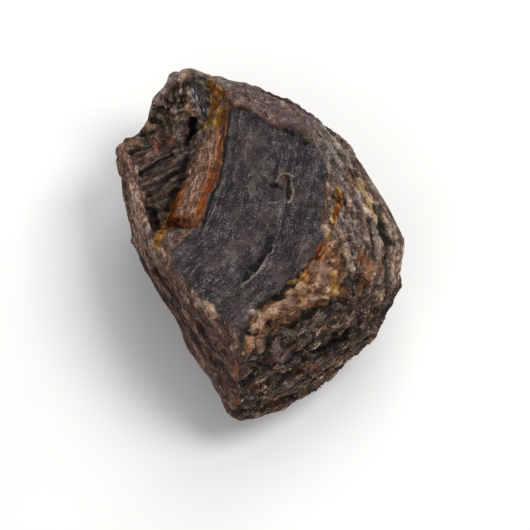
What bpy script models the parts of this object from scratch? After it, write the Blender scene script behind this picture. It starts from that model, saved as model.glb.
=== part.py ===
"""A raw lump of amber: one solid, lying on its flat underside.

Metres, +Z up.  The sizes below are in millimetres and are turned into metres
by MM.  The lump is a block of named corners, cut by two fracture hollows,
rounded, and then given its lumps, ledges, cracks and pits.
"""

import bmesh
import bpy
import numpy as np
from mathutils import Vector, noise

MM = 0.001
NODE = "raw_amber"

# ---------------------------------------------------------------- block sizes
# Corners of the broad slate face, which is slightly domed (x, y, height).
BROAD_FACE = {
    "top_left": (-6.2, 24.5, 26.4),
    "top_middle": (-0.5, 22.4, 27.0),
    "top_right": (6.2, 19.6, 27.0),
    "right_upper": (10.8, 15.8, 26.6),
    "right": (11.6, 4.1, 26.6),
    "right_lower": (10.4, -1.2, 26.3),
    "lower_right": (5.5, -8.8, 25.9),
    "lower": (-0.2, -14.3, 25.3),
    "lower_point": (-5.4, -19.4, 24.2),
    "lower_left": (-9.4, -14.5, 25.2),
    "left_lower": (-13.0, -10.8, 25.4),
    "left": (-16.9, -4.4, 24.9),
    "crown": (-1.0, 4.0, 27.6),
}
# The shoulders: the right side falls away slowly, the left rim is narrow.
SHOULDER = {
    "right_high": (16.0, 11.2, 23.4),
    "right_mid": (18.6, 4.6, 21.6),
    "right_low": (19.2, -3.4, 19.4),
    "right_foot": (16.6, -10.0, 16.2),
    "front_right": (9.0, -16.8, 14.4),
    "front": (1.0, -21.6, 14.0),
    "left_rim_low": (-19.3, 2.6, 23.6),
    "left_rim": (-21.4, 9.6, 23.3),
    "left_rim_high": (-23.3, 16.6, 22.0),
    "lump_left": (-17.3, 27.4, 22.4),
    "lump_top": (-14.4, 30.6, 23.6),
    "lump_right": (-9.4, 28.6, 25.2),
}
# The widest line round the lump, from the head clockwise.
GIRTH = {
    "head": (-13.6, 35.5, 18.8),
    "head_right": (-8.4, 32.2, 20.6),
    "back_left": (-2.8, 30.0, 20.6),
    "back": (3.6, 28.5, 20.4),
    "back_right": (9.4, 25.1, 19.6),
    "corner_back": (12.4, 22.7, 18.8),
    "side_back": (15.1, 18.9, 17.8),
    "side_upper": (17.2, 14.2, 16.8),
    "side": (20.8, 9.7, 15.4),
    "side_widest": (23.8, 4.8, 14.0),
    "side_lower": (23.3, -0.8, 12.8),
    "side_front": (20.7, -7.8, 11.4),
    "corner_front": (18.3, -12.6, 10.2),
    "front_right": (13.9, -16.6, 9.2),
    "front_mid": (8.7, -20.7, 8.6),
    "front_low": (3.5, -23.6, 8.2),
    "foot_right": (-1.2, -24.6, 8.2),
    "foot": (-4.2, -26.0, 8.4),
    "foot_left": (-6.2, -24.5, 8.8),
    "flank_low": (-8.9, -20.2, 9.4),
    "flank": (-13.4, -10.2, 11.4),
    "flank_high": (-20.3, 0.4, 13.2),
    "rim_low": (-22.5, 6.4, 14.2),
    "rim": (-24.0, 13.2, 15.4),
    "rim_tip": (-25.6, 19.8, 16.4),
    "rim_back": (-25.0, 22.0, 15.6),
    "head_low": (-18.4, 30.2, 17.6),
    "head_left": (-16.1, 33.3, 18.2),
}
# Underside: a belly line, then the outline of the flat it rests on.
BELLY = {
    "back_left": (-14.6, 32.6, 11.0),
    "back": (-2.2, 29.4, 9.8),
    "back_right": (10.8, 22.4, 9.0),
    "right": (19.8, 8.4, 7.0),
    "right_front": (16.8, -8.2, 5.2),
    "front": (0.8, -20.6, 4.2),
    "left_front": (-8.4, -16.0, 4.6),
    "left": (-18.0, 2.2, 6.6),
    "left_back": (-21.8, 18.0, 8.8),
    "low_back": (-9.0, 25.0, 3.0),
    "low_right": (12.4, 12.0, 2.6),
    "low_front": (7.6, -11.6, 2.0),
    "low_left": (-13.0, 2.0, 2.4),
}
FLAT = [(-10.5, 9.0), (-8.5, 17.5), (-1.5, 20.0), (5.5, 14.5), (8.5, 5.5),
        (6.5, -4.5), (0.5, -10.0), (-5.0, -7.5), (-9.5, 0.5)]
FLAT_SNAP = 0.04              # points this near the flat are laid on it
FLAT_ALLOWANCE = 0.5          # stock below the flat, trimmed off at the end

# ------------------------------------------------------------ fracture hollows
BRIM = 30.0                   # above the crown, so each hollow is open upward
# The long notch in the upper left: its floor, and where its walls reach BRIM.
NOTCH_FLOOR = [(-11.2, 22.3, 18.0), (-12.8, 16.0, 17.2), (-14.6, 12.0, 16.8),
               (-16.4, 6.2, 17.0), (-18.0, 5.6, 18.6), (-19.0, 9.2, 20.2),
               (-20.0, 14.8, 20.8), (-20.8, 19.2, 20.2), (-18.0, 23.4, 16.6),
               (-25.0, 24.6, 16.2), (-22.6, 28.2, 17.0)]
NOTCH_BRIM = [(-4.4, 18.4), (-5.4, 10.6), (-6.4, 3.7), (-9.2, -2.4),
              (-15.4, -4.4), (-24.4, 3.0), (-29.6, 11.0), (-31.4, 19.0),
              (-27.0, 34.0), (-15.0, 34.4), (-5.2, 22.4)]
# The trough at the head, between the rough lump and the broad face.
TROUGH_FLOOR = [(-10.4, 23.2, 18.6), (-9.2, 30.6, 21.4), (-9.0, 35.0, 21.8)]
TROUGH_BRIM = [(-4.4, 22.6), (-4.2, 28.0), (-5.0, 36.0), (-19.0, 36.0),
               (-18.4, 27.6), (-15.6, 23.4)]

# The shallow bite in the left outline, beside the notch, full height.
BITE = [(-28.0, 23.6), (-22.4, 23.4), (-20.3, 26.0), (-19.0, 29.4),
        (-18.9, 32.0), (-26.0, 34.0)]
BITE_HEIGHTS = (-2.0, BRIM)

# ------------------------------------------------------------------ relief
REMESH_STEP = 0.5             # working mesh before the lumps are raised
ROUNDING = 3                  # smoothing passes that take the corners down
NORMAL_PASSES = 4             # evening of the direction the relief rises in
SETTLING = 2                  # smoothing passes once the relief is raised
TRIANGLES = 9500              # of the finished solid

# Outlines and lines on the upper side, in plan.
NOTCH_PLAN = [(-11.2, 22.3), (-12.8, 16.0), (-14.6, 12.0), (-16.4, 6.2),
              (-18.0, 5.6), (-19.0, 9.2), (-20.2, 14.8), (-20.8, 19.2),
              (-25.0, 21.6), (-22.6, 27.0), (-18.0, 24.4)]
VEIN_PLAN = [(-11.2, 22.4), (-12.8, 15.8), (-14.6, 12.0), (-16.2, 5.8),
             (-14.2, 4.2), (-11.0, 3.7), (-9.2, 7.6), (-8.2, 12.4),
             (-7.2, 17.4), (-7.0, 22.4)]
VEIN_RISE = 0.8
CREASE = [(11.2, 6.6), (10.7, -0.6), (8.9, -3.6), (5.6, -7.7), (3.1, -10.4),
          (0.6, -12.2), (-1.7, -13.6), (-3.0, -16.2)]
CREASE_SIZE = (2.2, 1.6)      # width, depth
LEDGE_WIDTH, LEDGE_DROP = 4.8, 1.0
LIP_GAP, LIP_RISE = 2.3, 0.8  # the lip beyond the crease
FACE_LEDGE = [(1.6, -2.2), (-1.1, -5.9), (-4.0, -8.9)]
FACE_LEDGE_SIZE = (2.6, 1.0)
STEP_FACE = 1.1               # width over which a step falls
HOOF_PIT = [(1.5, 7.4), (1.5, 9.4), (3.0, 10.4), (4.4, 9.2), (4.7, 5.7)]
HOOF_PIT_SIZE = (1.1, 0.8)
CRACKS = [
    # line, width, depth
    ([(3.4, -14.6), (5.7, -13.2), (8.6, -11.9)], 1.7, 2.0),
    ([(7.6, -17.6), (11.0, -15.2), (13.8, -13.6)], 1.6, 1.7),
    ([(-3.4, -18.0), (-0.6, -18.8), (3.6, -18.4)], 1.4, 1.3),
    ([(1.2, 28.3), (6.0, 26.0), (12.0, 22.4)], 1.2, 0.9),
    ([(-18.6, 8.4), (-17.4, 5.8)], 1.9, 1.6),
    ([(-13.4, 23.8), (-12.2, 22.6)], 1.9, 1.9),
    ([(-19.6, 25.6), (-17.2, 26.4), (-15.6, 28.6)], 1.5, 1.2),
    ([(-3.4, -21.8), (2.0, -21.6), (6.4, -19.6)], 1.5, 1.2),
]
# Layers of the skin show as long low ridges round the right shoulder.
RIDGES = [
    # line, width, height
    ([(11.6, 17.6), (15.6, 11.6), (17.6, 6.6)], 1.6, 0.7),
    ([(14.4, 16.6), (17.6, 11.6), (20.0, 6.4), (21.0, 1.0)], 1.5, 0.8),
    ([(13.2, 7.6), (14.4, 3.0), (14.2, -2.4), (12.0, -6.6)], 1.7, 0.7),
    ([(16.6, 5.2), (17.8, 0.4), (17.4, -4.8), (15.0, -9.0)], 1.6, 0.8),
    ([(20.6, -1.4), (20.0, -6.4), (17.2, -11.0)], 1.6, 0.7),
]
PITS = [
    # x, y, radius, depth
    (1.7, 0.8, 1.3, 0.9),
    (9.3, -10.3, 1.6, 1.5),
    (4.9, -16.6, 1.7, 1.4),
    (13.4, -8.4, 1.6, 1.2),
    (-2.4, -21.2, 1.6, 1.2),
    (19.0, 3.0, 1.5, 1.1),
    (20.8, 4.0, 1.5, 1.1),
    (0.6, -15.9, 1.3, 1.1),
]
KNOBS = [
    # x, y, radius, height
    (-2.3, -15.2, 1.9, 0.9),
    (-8.9, -13.9, 1.7, 0.5),
    (7.4, -15.2, 2.2, 1.1),
    (1.8, -17.4, 2.0, 0.9),
    (12.0, -12.2, 2.4, 1.0),
    (12.4, 7.6, 1.9, 0.5),
    (-7.9, 27.4, 2.1, 1.0),
    (-8.0, 23.6, 2.0, 0.9),
    (-15.4, 30.6, 2.2, 1.0),
    (-17.2, 27.6, 1.7, 0.8),
    (-13.2, 33.2, 1.8, 0.6),
    (-16.2, 22.4, 1.6, 1.1),
]
SLAB_GRAIN = (0.83, 0.56)     # run of the fractured sheets in the notch
SLAB_STEP, SLAB_RISE = 2.6, 1.3
FLANK_EDGE = [(-22.0, 14.0), (-20.4, 4.0), (-17.0, -4.4), (-9.4, -14.5),
              (-5.4, -19.4), (-4.4, -25.0)]
FLANK_PITCH, FLANK_RISE = 2.8, 0.42
COARSE = (5.6, 0.9)           # size and height of the rough skin's big lumps
CRAGS = (3.6, 1.5)            # size and height of its crags
BELLY_LUMPS = (10.0, 1.3)     # size and height of the swells underneath

# How each feature fades in: pairs are where it starts and where it is whole.
UPPER_TURN, UPPER_HEIGHTS = (-0.1, 0.55), (4.0, 9.0)
BROAD_EDGE, BROAD_LOWEST = (-0.8, 0.8), 21.0
LEDGE_HEIGHTS, GROOVE_HEIGHTS = (17.0, 20.0), (18.0, 21.0)
LIP_WIDTH = 1.3
VEIN_EDGE, VEIN_TOP = (-0.3, 0.6), 26.0
FLOOR_EDGE, FLOOR_HEIGHTS = (-0.2, 1.2), (15.2, 16.6)
SLAB_WAVE = (4.0, 0.4)        # size and reach of the bends in the sheets
SLAB_BACK = (0.8, 1.0)        # the part of each sheet that falls to the next
FLANK_TURN, FLANK_LEAN, FLANK_TOP = (0.3, 0.6), 0.55, 24.0
FLANK_WAVE = (9.0, 1.1)       # size and reach of the bends in its ridges
FRONT_REACH, FRONT_SIDE = (2.0, 9.0), (-6.0, -2.0)
HEAD_REACH, HEAD_SIDE = (21.0, 25.0), (5.0, 9.0)
BELLY_HEIGHTS, BELLY_CRAG_HEIGHTS = (3.5, 8.5), (1.0, 4.0)
# How rough each place is left, as a share of the full lumps and crags.
CALM_BROAD, CALM_VEIN, CALM_FLANK, CALM_FLOOR = 0.9, 0.7, 0.4, 0.7
LEAST_ROUGH = 0.06
COARSE_SHARE = (0.6, 0.3)     # everywhere, and added on the front
CRAG_SHARE = (0.3, 0.7, 0.5)  # everywhere, added on the front, on the head
BELLY_CRAG = 0.35
CRAG_MIDDLE = 0.35
# Each noise field starts at its own place.
SEED_COARSE, SEED_SLAB, SEED_CRAG = 1.0, 3.0, 5.0
SEED_BELLY, SEED_FLANK = 7.0, 9.0


# ------------------------------------------------------------------- helpers
def hull(name, points):
    """A closed convex body through the outer ones of the given points."""
    bm = bmesh.new()
    for point in points:
        bm.verts.new([value * MM for value in point])
    bmesh.ops.convex_hull(bm, input=bm.verts)
    loose = [vert for vert in bm.verts if not vert.link_faces]
    bmesh.ops.delete(bm, geom=loose, context="VERTS")
    bmesh.ops.recalc_face_normals(bm, faces=bm.faces)
    mesh = bpy.data.meshes.new(name)
    bm.to_mesh(mesh)
    bm.free()
    obj = bpy.data.objects.new(name, mesh)
    bpy.context.scene.collection.objects.link(obj)
    return obj


def as_cutter(obj):
    """Keeps a helper out of the render and shows it as wire."""
    obj.hide_render = True
    obj.display_type = "WIRE"
    return obj


def cut(obj, cutter):
    """Takes one hollow out of the body."""
    modifier = obj.modifiers.new("cut_" + cutter.name, "BOOLEAN")
    modifier.operation = "DIFFERENCE"
    modifier.solver = "EXACT"
    modifier.object = cutter


def apply_all(obj):
    """Turns the modifiers of an object into plain mesh."""
    graph = bpy.context.evaluated_depsgraph_get()
    mesh = bpy.data.meshes.new_from_object(obj.evaluated_get(graph))
    obj.modifiers.clear()
    obj.data = mesh


def ramp(value, start, end):
    """0 below start, 1 above end, with a soft change between."""
    part = np.clip((value - start) / (end - start), 0.0, 1.0)
    return part * part * (3.0 - 2.0 * part)


def bump(distance, reach):
    """1 at distance 0, falling softly to 0 at the reach."""
    return 1.0 - ramp(distance, 0.0, reach)


def line_distance(plan, line):
    """Distance to a line in plan, and the side: over 0 on its left."""
    best = np.full(len(plan), 1e9)
    side = np.zeros(len(plan))
    for start, end in zip(line[:-1], line[1:]):
        start, end = np.array(start), np.array(end)
        along = end - start
        part = np.clip((plan - start) @ along / (along @ along), 0.0, 1.0)
        gap = plan - start - part[:, None] * along
        far = np.hypot(gap[:, 0], gap[:, 1])
        turn = along[0] * gap[:, 1] - along[1] * gap[:, 0]
        nearer = far < best
        best = np.where(nearer, far, best)
        side = np.where(nearer, np.sign(turn), side)
    return best, side


def depth_inside(plan, outline):
    """Distance in from a closed outline in plan, below 0 outside it."""
    best, _ = line_distance(plan, outline + outline[:1])
    odd = np.zeros(len(plan), bool)
    x, y = plan[:, 0], plan[:, 1]
    for (x0, y0), (x1, y1) in zip(outline, outline[1:] + outline[:1]):
        if y0 == y1:
            continue
        spans = (y0 > y) != (y1 > y)
        odd ^= spans & (x < x0 + (y - y0) * (x1 - x0) / (y1 - y0))
    return np.where(odd, best, -best)


def cliff(distance, side, face, tail):
    """1 at the foot of a step down on the right of a line, 0 well off it."""
    signed = -distance * side
    return ramp(signed, -face / 2.0, face / 2.0) * (1.0 - ramp(signed, 0.0, tail))


def skin_noise(points, size, shift):
    """Noise in about -1 to 1 whose lumps are the given size in mm."""
    offset = Vector((shift, 1.7 * shift, -0.6 * shift))
    return np.array([
        noise.noise(Vector(point) / size + offset) for point in points
    ])


def crag_noise(points, size, shift):
    """Broken facets: how far each point is from the middle of its crag."""
    offset = Vector((shift, -shift, 0.4 * shift))
    gaps = []
    for point in points:
        near = noise.voronoi(Vector(point) / size + offset)[0]
        gaps.append(near[1] - near[0])
    return np.clip(np.array(gaps), 0.0, 0.8)


# ------------------------------------------------------------------- relief
def relief(points, normals):
    """How far each point moves along its normal, in mm."""
    plan = points[:, :2]
    height = points[:, 2]
    upper = ramp(normals[:, 2], *UPPER_TURN) * ramp(height, *UPPER_HEIGHTS)
    outline = [corner[:2] for name, corner in BROAD_FACE.items()
               if name != "crown"]
    broad = ramp(depth_inside(plan, outline), *BROAD_EDGE)
    broad *= height > BROAD_LOWEST
    crease, side = line_distance(plan, CREASE)
    outer = (side > 0) * 1.0
    rise = np.zeros(len(points))

    # Lower right: crease, the lip beyond it, then the ledge band.
    ledge = outer * upper * ramp(height, *LEDGE_HEIGHTS)
    rise -= LEDGE_DROP * ledge * bump(crease, LEDGE_WIDTH)
    rise += LIP_RISE * ledge * bump(np.abs(crease - LIP_GAP), LIP_WIDTH)
    width, depth = CREASE_SIZE
    groove = cliff(crease, -side, STEP_FACE, width)
    rise -= depth * upper * groove * ramp(height, *GROOVE_HEIGHTS)

    # Broad face: a step with a sharp edge, and a hoof-shaped pit.
    step, step_side = line_distance(plan, FACE_LEDGE)
    width, depth = FACE_LEDGE_SIZE
    rise -= depth * broad * cliff(step, step_side, STEP_FACE, width)
    hoof, _ = line_distance(plan, HOOF_PIT)
    width, depth = HOOF_PIT_SIZE
    rise -= depth * broad * bump(hoof, width)

    for line, width, depth in CRACKS:
        gap, _ = line_distance(plan, line)
        rise -= depth * upper * bump(gap, width)
    for line, width, tall in RIDGES:
        gap, _ = line_distance(plan, line)
        rise += tall * upper * bump(gap, width)
    for x, y, radius, depth in PITS:
        gap = np.hypot(plan[:, 0] - x, plan[:, 1] - y)
        rise -= depth * upper * bump(gap, radius)
    for x, y, radius, tall in KNOBS:
        gap = np.hypot(plan[:, 0] - x, plan[:, 1] - y)
        rise += tall * upper * bump(gap, radius)

    # Notch: the vein leans on its wall, broken sheets lie on its floor.
    vein = ramp(depth_inside(plan, VEIN_PLAN), *VEIN_EDGE)
    vein *= height < VEIN_TOP
    rise += VEIN_RISE * vein
    floor = ramp(depth_inside(plan, NOTCH_PLAN), *FLOOR_EDGE)
    floor *= upper * (1.0 - vein) * ramp(height, *FLOOR_HEIGHTS)
    across = plan @ np.array([-SLAB_GRAIN[1], SLAB_GRAIN[0]])
    size, reach = SLAB_WAVE
    across += reach * skin_noise(points, size, SEED_SLAB)
    phase = np.mod(across / SLAB_STEP, 1.0)
    rise += SLAB_RISE * floor * (phase - 0.5) * (1.0 - ramp(phase, *SLAB_BACK))

    # Left flank: long ridges that run along its edge.
    edge, edge_side = line_distance(plan, FLANK_EDGE)
    flank = ramp(-normals[:, 0], *FLANK_TURN) * (edge_side < 0)
    across = edge + FLANK_LEAN * (FLANK_TOP - height)
    size, reach = FLANK_WAVE
    across += reach * skin_noise(points, size, SEED_FLANK)
    rise += FLANK_RISE * flank * np.sin(2.0 * np.pi * across / FLANK_PITCH)

    # The rough skin's lumps and crags, quiet on the smooth parts.
    calm = CALM_BROAD * broad + CALM_VEIN * vein + CALM_FLANK * flank
    rough = np.maximum(1.0 - calm, LEAST_ROUGH)
    rough *= 1.0 - CALM_FLOOR * floor
    front = ramp(-plan[:, 1], *FRONT_REACH) * ramp(plan[:, 0], *FRONT_SIDE)
    head = ramp(plan[:, 1], *HEAD_REACH) * ramp(-plan[:, 0], *HEAD_SIDE)
    size, tall = COARSE
    everywhere, more = COARSE_SHARE
    share = rough * (everywhere + more * front)
    rise += tall * share * skin_noise(points, size, SEED_COARSE)
    size, tall = BELLY_LUMPS
    belly = 1.0 - ramp(height, *BELLY_HEIGHTS)
    rise += tall * belly * skin_noise(points, size, SEED_BELLY)
    size, tall = CRAGS
    everywhere, on_front, on_head = CRAG_SHARE
    power = np.minimum(everywhere + on_front * front + on_head * head, 1.0)
    under = BELLY_CRAG * belly * ramp(height, *BELLY_CRAG_HEIGHTS)
    power = rough * np.maximum(power * upper, under)
    rise += tall * power * (crag_noise(points, size, SEED_CRAG) - CRAG_MIDDLE)
    return rise


def even_normals(mesh, passes):
    """The mesh's normals, each averaged with its neighbours' several times."""
    normals = np.empty(len(mesh.vertices) * 3)
    mesh.vertex_normals.foreach_get("vector", normals)
    normals = normals.reshape(-1, 3)
    ends = np.empty(len(mesh.edges) * 2, np.int32)
    mesh.edges.foreach_get("vertices", ends)
    ends = ends.reshape(-1, 2)
    for _ in range(passes):
        total = normals.copy()
        np.add.at(total, ends[:, 0], normals[ends[:, 1]])
        np.add.at(total, ends[:, 1], normals[ends[:, 0]])
        normals = total / np.linalg.norm(total, axis=1)[:, None]
    return normals


def keep_largest(obj):
    """Drops any crumb that the hollows left loose beside the lump."""
    bm = bmesh.new()
    bm.from_mesh(obj.data)
    left = set(bm.verts)
    islands = []
    while left:
        island = set()
        queue = [left.pop()]
        while queue:
            vert = queue.pop()
            island.add(vert)
            near = {edge.other_vert(vert) for edge in vert.link_edges} & left
            left -= near
            queue.extend(near)
        islands.append(island)
    largest = max(islands, key=len)
    crumbs = [vert for vert in bm.verts if vert not in largest]
    bmesh.ops.delete(bm, geom=crumbs, context="VERTS")
    bm.to_mesh(obj.data)
    bm.free()


def raise_relief(obj):
    """Moves the points of the working mesh out or in by the relief."""
    mesh = obj.data
    points = np.empty(len(mesh.vertices) * 3)
    mesh.vertices.foreach_get("co", points)
    points = points.reshape(-1, 3) / MM
    normals = even_normals(mesh, NORMAL_PASSES)
    points += relief(points, normals)[:, None] * normals
    mesh.vertices.foreach_set("co", (points * MM).reshape(-1))
    mesh.update()


def trim_flat(obj):
    """Cuts the underside flat at height 0 and centres the lump on it."""
    bm = bmesh.new()
    bm.from_mesh(obj.data)
    everything = bm.verts[:] + bm.edges[:] + bm.faces[:]
    cut_edges = bmesh.ops.bisect_plane(
        bm, geom=everything, dist=0.02 * MM, plane_co=(0.0, 0.0, 0.0),
        plane_no=(0.0, 0.0, -1.0), clear_outer=True)["geom_cut"]
    rim = [item for item in cut_edges if isinstance(item, bmesh.types.BMEdge)]
    bmesh.ops.edgeloop_fill(bm, edges=rim)
    bmesh.ops.dissolve_degenerate(bm, edges=bm.edges, dist=0.03 * MM)
    for vert in bm.verts:
        if abs(vert.co.z) < FLAT_SNAP * MM:
            vert.co.z = 0.0
    bmesh.ops.triangulate(bm, faces=bm.faces)
    bmesh.ops.recalc_face_normals(bm, faces=bm.faces)
    spans = [(min(vert.co[axis] for vert in bm.verts),
              max(vert.co[axis] for vert in bm.verts)) for axis in (0, 1)]
    centre = Vector((sum(spans[0]) / 2.0, sum(spans[1]) / 2.0, 0.0))
    bmesh.ops.translate(bm, verts=bm.verts, vec=-centre)
    bm.to_mesh(obj.data)
    bm.free()


def skin_material():
    """Dark brown, dull skin."""
    material = bpy.data.materials.new("amber_skin")
    material.use_nodes = True
    shader = material.node_tree.nodes["Principled BSDF"]
    shader.inputs["Base Color"].default_value = (0.075, 0.052, 0.040, 1.0)
    shader.inputs["Roughness"].default_value = 0.62
    return material


# --------------------------------------------------------------------- build
def build_lump():
    """The whole lump as one closed body."""
    flat = [(x, y, -FLAT_ALLOWANCE) for x, y in FLAT]
    rings = [BROAD_FACE, SHOULDER, GIRTH, BELLY]
    corners = [corner for ring in rings for corner in ring.values()]
    lump = hull(NODE, corners + flat)
    notch = NOTCH_FLOOR + [(x, y, BRIM) for x, y in NOTCH_BRIM]
    trough = TROUGH_FLOOR + [(x, y, BRIM) for x, y in TROUGH_BRIM]
    cut(lump, as_cutter(hull("notch_cutter", notch)))
    cut(lump, as_cutter(hull("trough_cutter", trough)))
    bite = [(x, y, z) for x, y in BITE for z in BITE_HEIGHTS]
    cut(lump, as_cutter(hull("bite_cutter", bite)))
    apply_all(lump)

    even = lump.modifiers.new("even_mesh", "REMESH")
    even.mode = "VOXEL"
    even.voxel_size = REMESH_STEP * MM
    soft = lump.modifiers.new("worn_corners", "SMOOTH")
    soft.factor = 0.5
    soft.iterations = ROUNDING
    apply_all(lump)
    keep_largest(lump)
    raise_relief(lump)
    settled = lump.modifiers.new("settled", "SMOOTH")
    settled.factor = 0.5
    settled.iterations = SETTLING
    apply_all(lump)

    triangles = sum(len(face.vertices) - 2 for face in lump.data.polygons)
    fewer = lump.modifiers.new("fewer_faces", "DECIMATE")
    fewer.ratio = TRIANGLES / triangles
    apply_all(lump)
    trim_flat(lump)
    lump.data.materials.clear()
    lump.data.materials.append(skin_material())
    return lump


def main():
    """Clears the scene and builds the lump."""
    for obj in list(bpy.data.objects):
        bpy.data.objects.remove(obj, do_unlink=True)
    build_lump()


main()
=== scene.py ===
"""The looks of a raw lump of amber: crusted skin, slate face, vein and clear resin.

Lengths are in millimetres unless a name ends in _m, and MM turns them into metres.
"""

import logging
import math
from dataclasses import dataclass, field
from enum import Enum

import bmesh
import bpy
import numpy as np
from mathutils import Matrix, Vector, noise


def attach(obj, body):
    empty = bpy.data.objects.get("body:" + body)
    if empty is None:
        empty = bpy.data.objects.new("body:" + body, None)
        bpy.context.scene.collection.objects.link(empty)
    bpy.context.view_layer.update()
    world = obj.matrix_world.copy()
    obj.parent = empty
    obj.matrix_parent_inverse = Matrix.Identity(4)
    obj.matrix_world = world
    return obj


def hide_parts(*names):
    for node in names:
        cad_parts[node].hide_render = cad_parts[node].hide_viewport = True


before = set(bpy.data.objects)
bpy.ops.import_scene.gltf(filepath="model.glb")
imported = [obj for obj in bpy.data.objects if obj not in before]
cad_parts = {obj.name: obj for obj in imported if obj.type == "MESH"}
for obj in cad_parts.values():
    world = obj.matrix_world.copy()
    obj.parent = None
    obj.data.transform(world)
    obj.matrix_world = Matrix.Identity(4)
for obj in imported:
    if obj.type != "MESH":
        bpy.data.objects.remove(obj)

Array = np.ndarray
Pair = tuple[float, float]
Triple = tuple[float, float, float]
Colour = tuple[int, int, int]
Socket = bpy.types.NodeSocket

MM = 0.001
NODE = "raw_amber"
BODY = "root"

# Where the side that faces the drawing sheet starts and where it is complete.
SHOWN = (-0.06, 0.16)
TURNED_AWAY = -0.3
FRACTAL_ROUGHNESS = 0.85
FRACTAL_STEP = 2.1
CREVICE_SHARPNESS = 4.5
CRAG_TOP = 0.8
STEP_RISE = 0.8

logging.basicConfig(level=logging.INFO, format="%(message)s")
log = logging.getLogger("amber")


class Look(Enum):
    """The looks of the skin, in the order in which they are laid one over another."""

    CRUST = "crust"
    SHOULDER = "shoulder"
    BEVEL = "bevel"
    ROUGH = "rough"
    FLANK = "flank"
    RIM = "rim"
    HEAD = "head"
    NOTCH = "notch"
    SLAB = "slab"
    GOLD = "gold"
    SLATE = "slate"
    LINED_SLATE = "lined_slate"
    VEIN = "vein"
    GREY = "grey"
    MAUVE = "mauve"
    OLIVE = "olive"
    STAIN = "stain"
    WAXY = "waxy"
    RED = "red"
    ORANGE_SKIN = "orange_skin"
    BLUEGREY = "bluegrey"
    TAN = "tan"
    RUST = "rust"
    # Green-black colour, and painted shade where it is laid in crevices, hollows and under
    # ledges.
    GREEN_BLACK = "green_black"
    YELLOW = "yellow"
    ORANGE_BED = "orange_bed"
    EMBER_BED = "ember_bed"
    YELLOW_BED = "yellow_bed"
    CREAM = "cream"
    MAROON_BED = "maroon_bed"
    # Pale colour, and painted highlight along the split's lit rim and on the glassy facet.
    PALE = "pale"
    # Dark colour and painted shade: laid in grooves, holes, gaps and undercuts, and as some
    # dark patches.
    DARK = "dark"

    def later(self) -> "list[Look]":
        """The looks that are laid over this one."""
        looks = list(Look)
        return looks[looks.index(self) + 1:]


class Pattern(Enum):
    """The ways in which relief breaks up the skin."""

    SWELL = "soft swells"
    CRAG = "broken lumps"
    CREVICE = "sharp crevices"


# ------------------------------------------------------------------ measuring
def tone(red: int, green: int, blue: int) -> tuple[float, float, float, float]:
    """Turns display values of 0 to 255 into the linear colour that shaders use.

    Args:
        red: red as displayed.
        green: green as displayed.
        blue: blue as displayed.

    Returns:
        Linear red, green and blue, and an alpha of 1.
    """
    shown = np.array([red, green, blue]) / 255.0
    low = shown / 12.92
    high = ((shown + 0.055) / 1.055) ** 2.4
    linear = np.where(shown <= 0.04045, low, high)
    return (float(linear[0]), float(linear[1]), float(linear[2]), 1.0)


def ramp(value: Array, start: float | Array, end: float | Array) -> Array:
    """Rises softly from 0 at start to 1 at end.

    Args:
        value: any measures.
        start: where the rise begins.
        end: where it is complete.

    Returns:
        A share between 0 and 1 for each measure.
    """
    part = np.clip((value - start) / (end - start), 0.0, 1.0)
    return part * part * (3.0 - 2.0 * part)


def bump(distance: Array, reach: float) -> Array:
    """1 where the distance is 0, falling softly to 0 at the reach."""
    return 1.0 - ramp(np.abs(distance), 0.0, reach)


def swell(points: Array, size: float, octaves: int = 1, shift: float = 0.0) -> Array:
    """Soft noise in about -1 to 1.

    Args:
        points: one row of three for each point, in mm.
        size: how far it is from one swell to the next.
        octaves: how many times finer swells are laid over.
        shift: tells one field of noise from another.

    Returns:
        One value for each point.
    """
    scaled = points / size + np.array(Vector((shift, 1.7 * shift, -0.6 * shift)))
    return np.array([
        noise.fractal(point, FRACTAL_ROUGHNESS, FRACTAL_STEP, octaves)
        for point in scaled.tolist()
    ])


def crag(points: Array, size: float, shift: float = 0.0) -> Array:
    """Broken lumps: -1 along the cracks between them, up to 1 on top.

    Args:
        points: one row of three for each point, in mm.
        size: size of one lump.
        shift: tells one field from another.

    Returns:
        One value for each point.
    """
    scaled = points / size + np.array([shift, -shift, 0.4 * shift])
    gaps = []
    for point in scaled.tolist():
        near = noise.voronoi(point)[0]
        gaps.append(near[1] - near[0])
    return np.clip(np.array(gaps), 0.0, CRAG_TOP) / (CRAG_TOP / 2.0) - 1.0


def crevice(points: Array, size: float, octaves: int = 2, shift: float = 0.0) -> Array:
    """Sharp crevices: -1 along them, rising quickly to 0 on both sides.

    Args:
        points: one row of three for each point, in mm.
        size: how far it is from one crevice to the next.
        octaves: how ragged they are.
        shift: tells one field from another.

    Returns:
        One value for each point.
    """
    off = np.abs(swell(points, size, octaves, shift))
    return -np.clip(1.0 - off * CREVICE_SHARPNESS, 0.0, 1.0)


def steps(across: Array, pitch: float) -> Array:
    """Ledges one pitch apart, each rising slowly from -0.5 to 0.5 and dropping off.

    Args:
        across: how far each point is across the ledges.
        pitch: how far apart they are.

    Returns:
        One height for each point.
    """
    place = (across / pitch) % 1.0
    falling = (1.0 - place) / (1.0 - STEP_RISE)
    return np.where(place < STEP_RISE, place / STEP_RISE, falling) - 0.5


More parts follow.
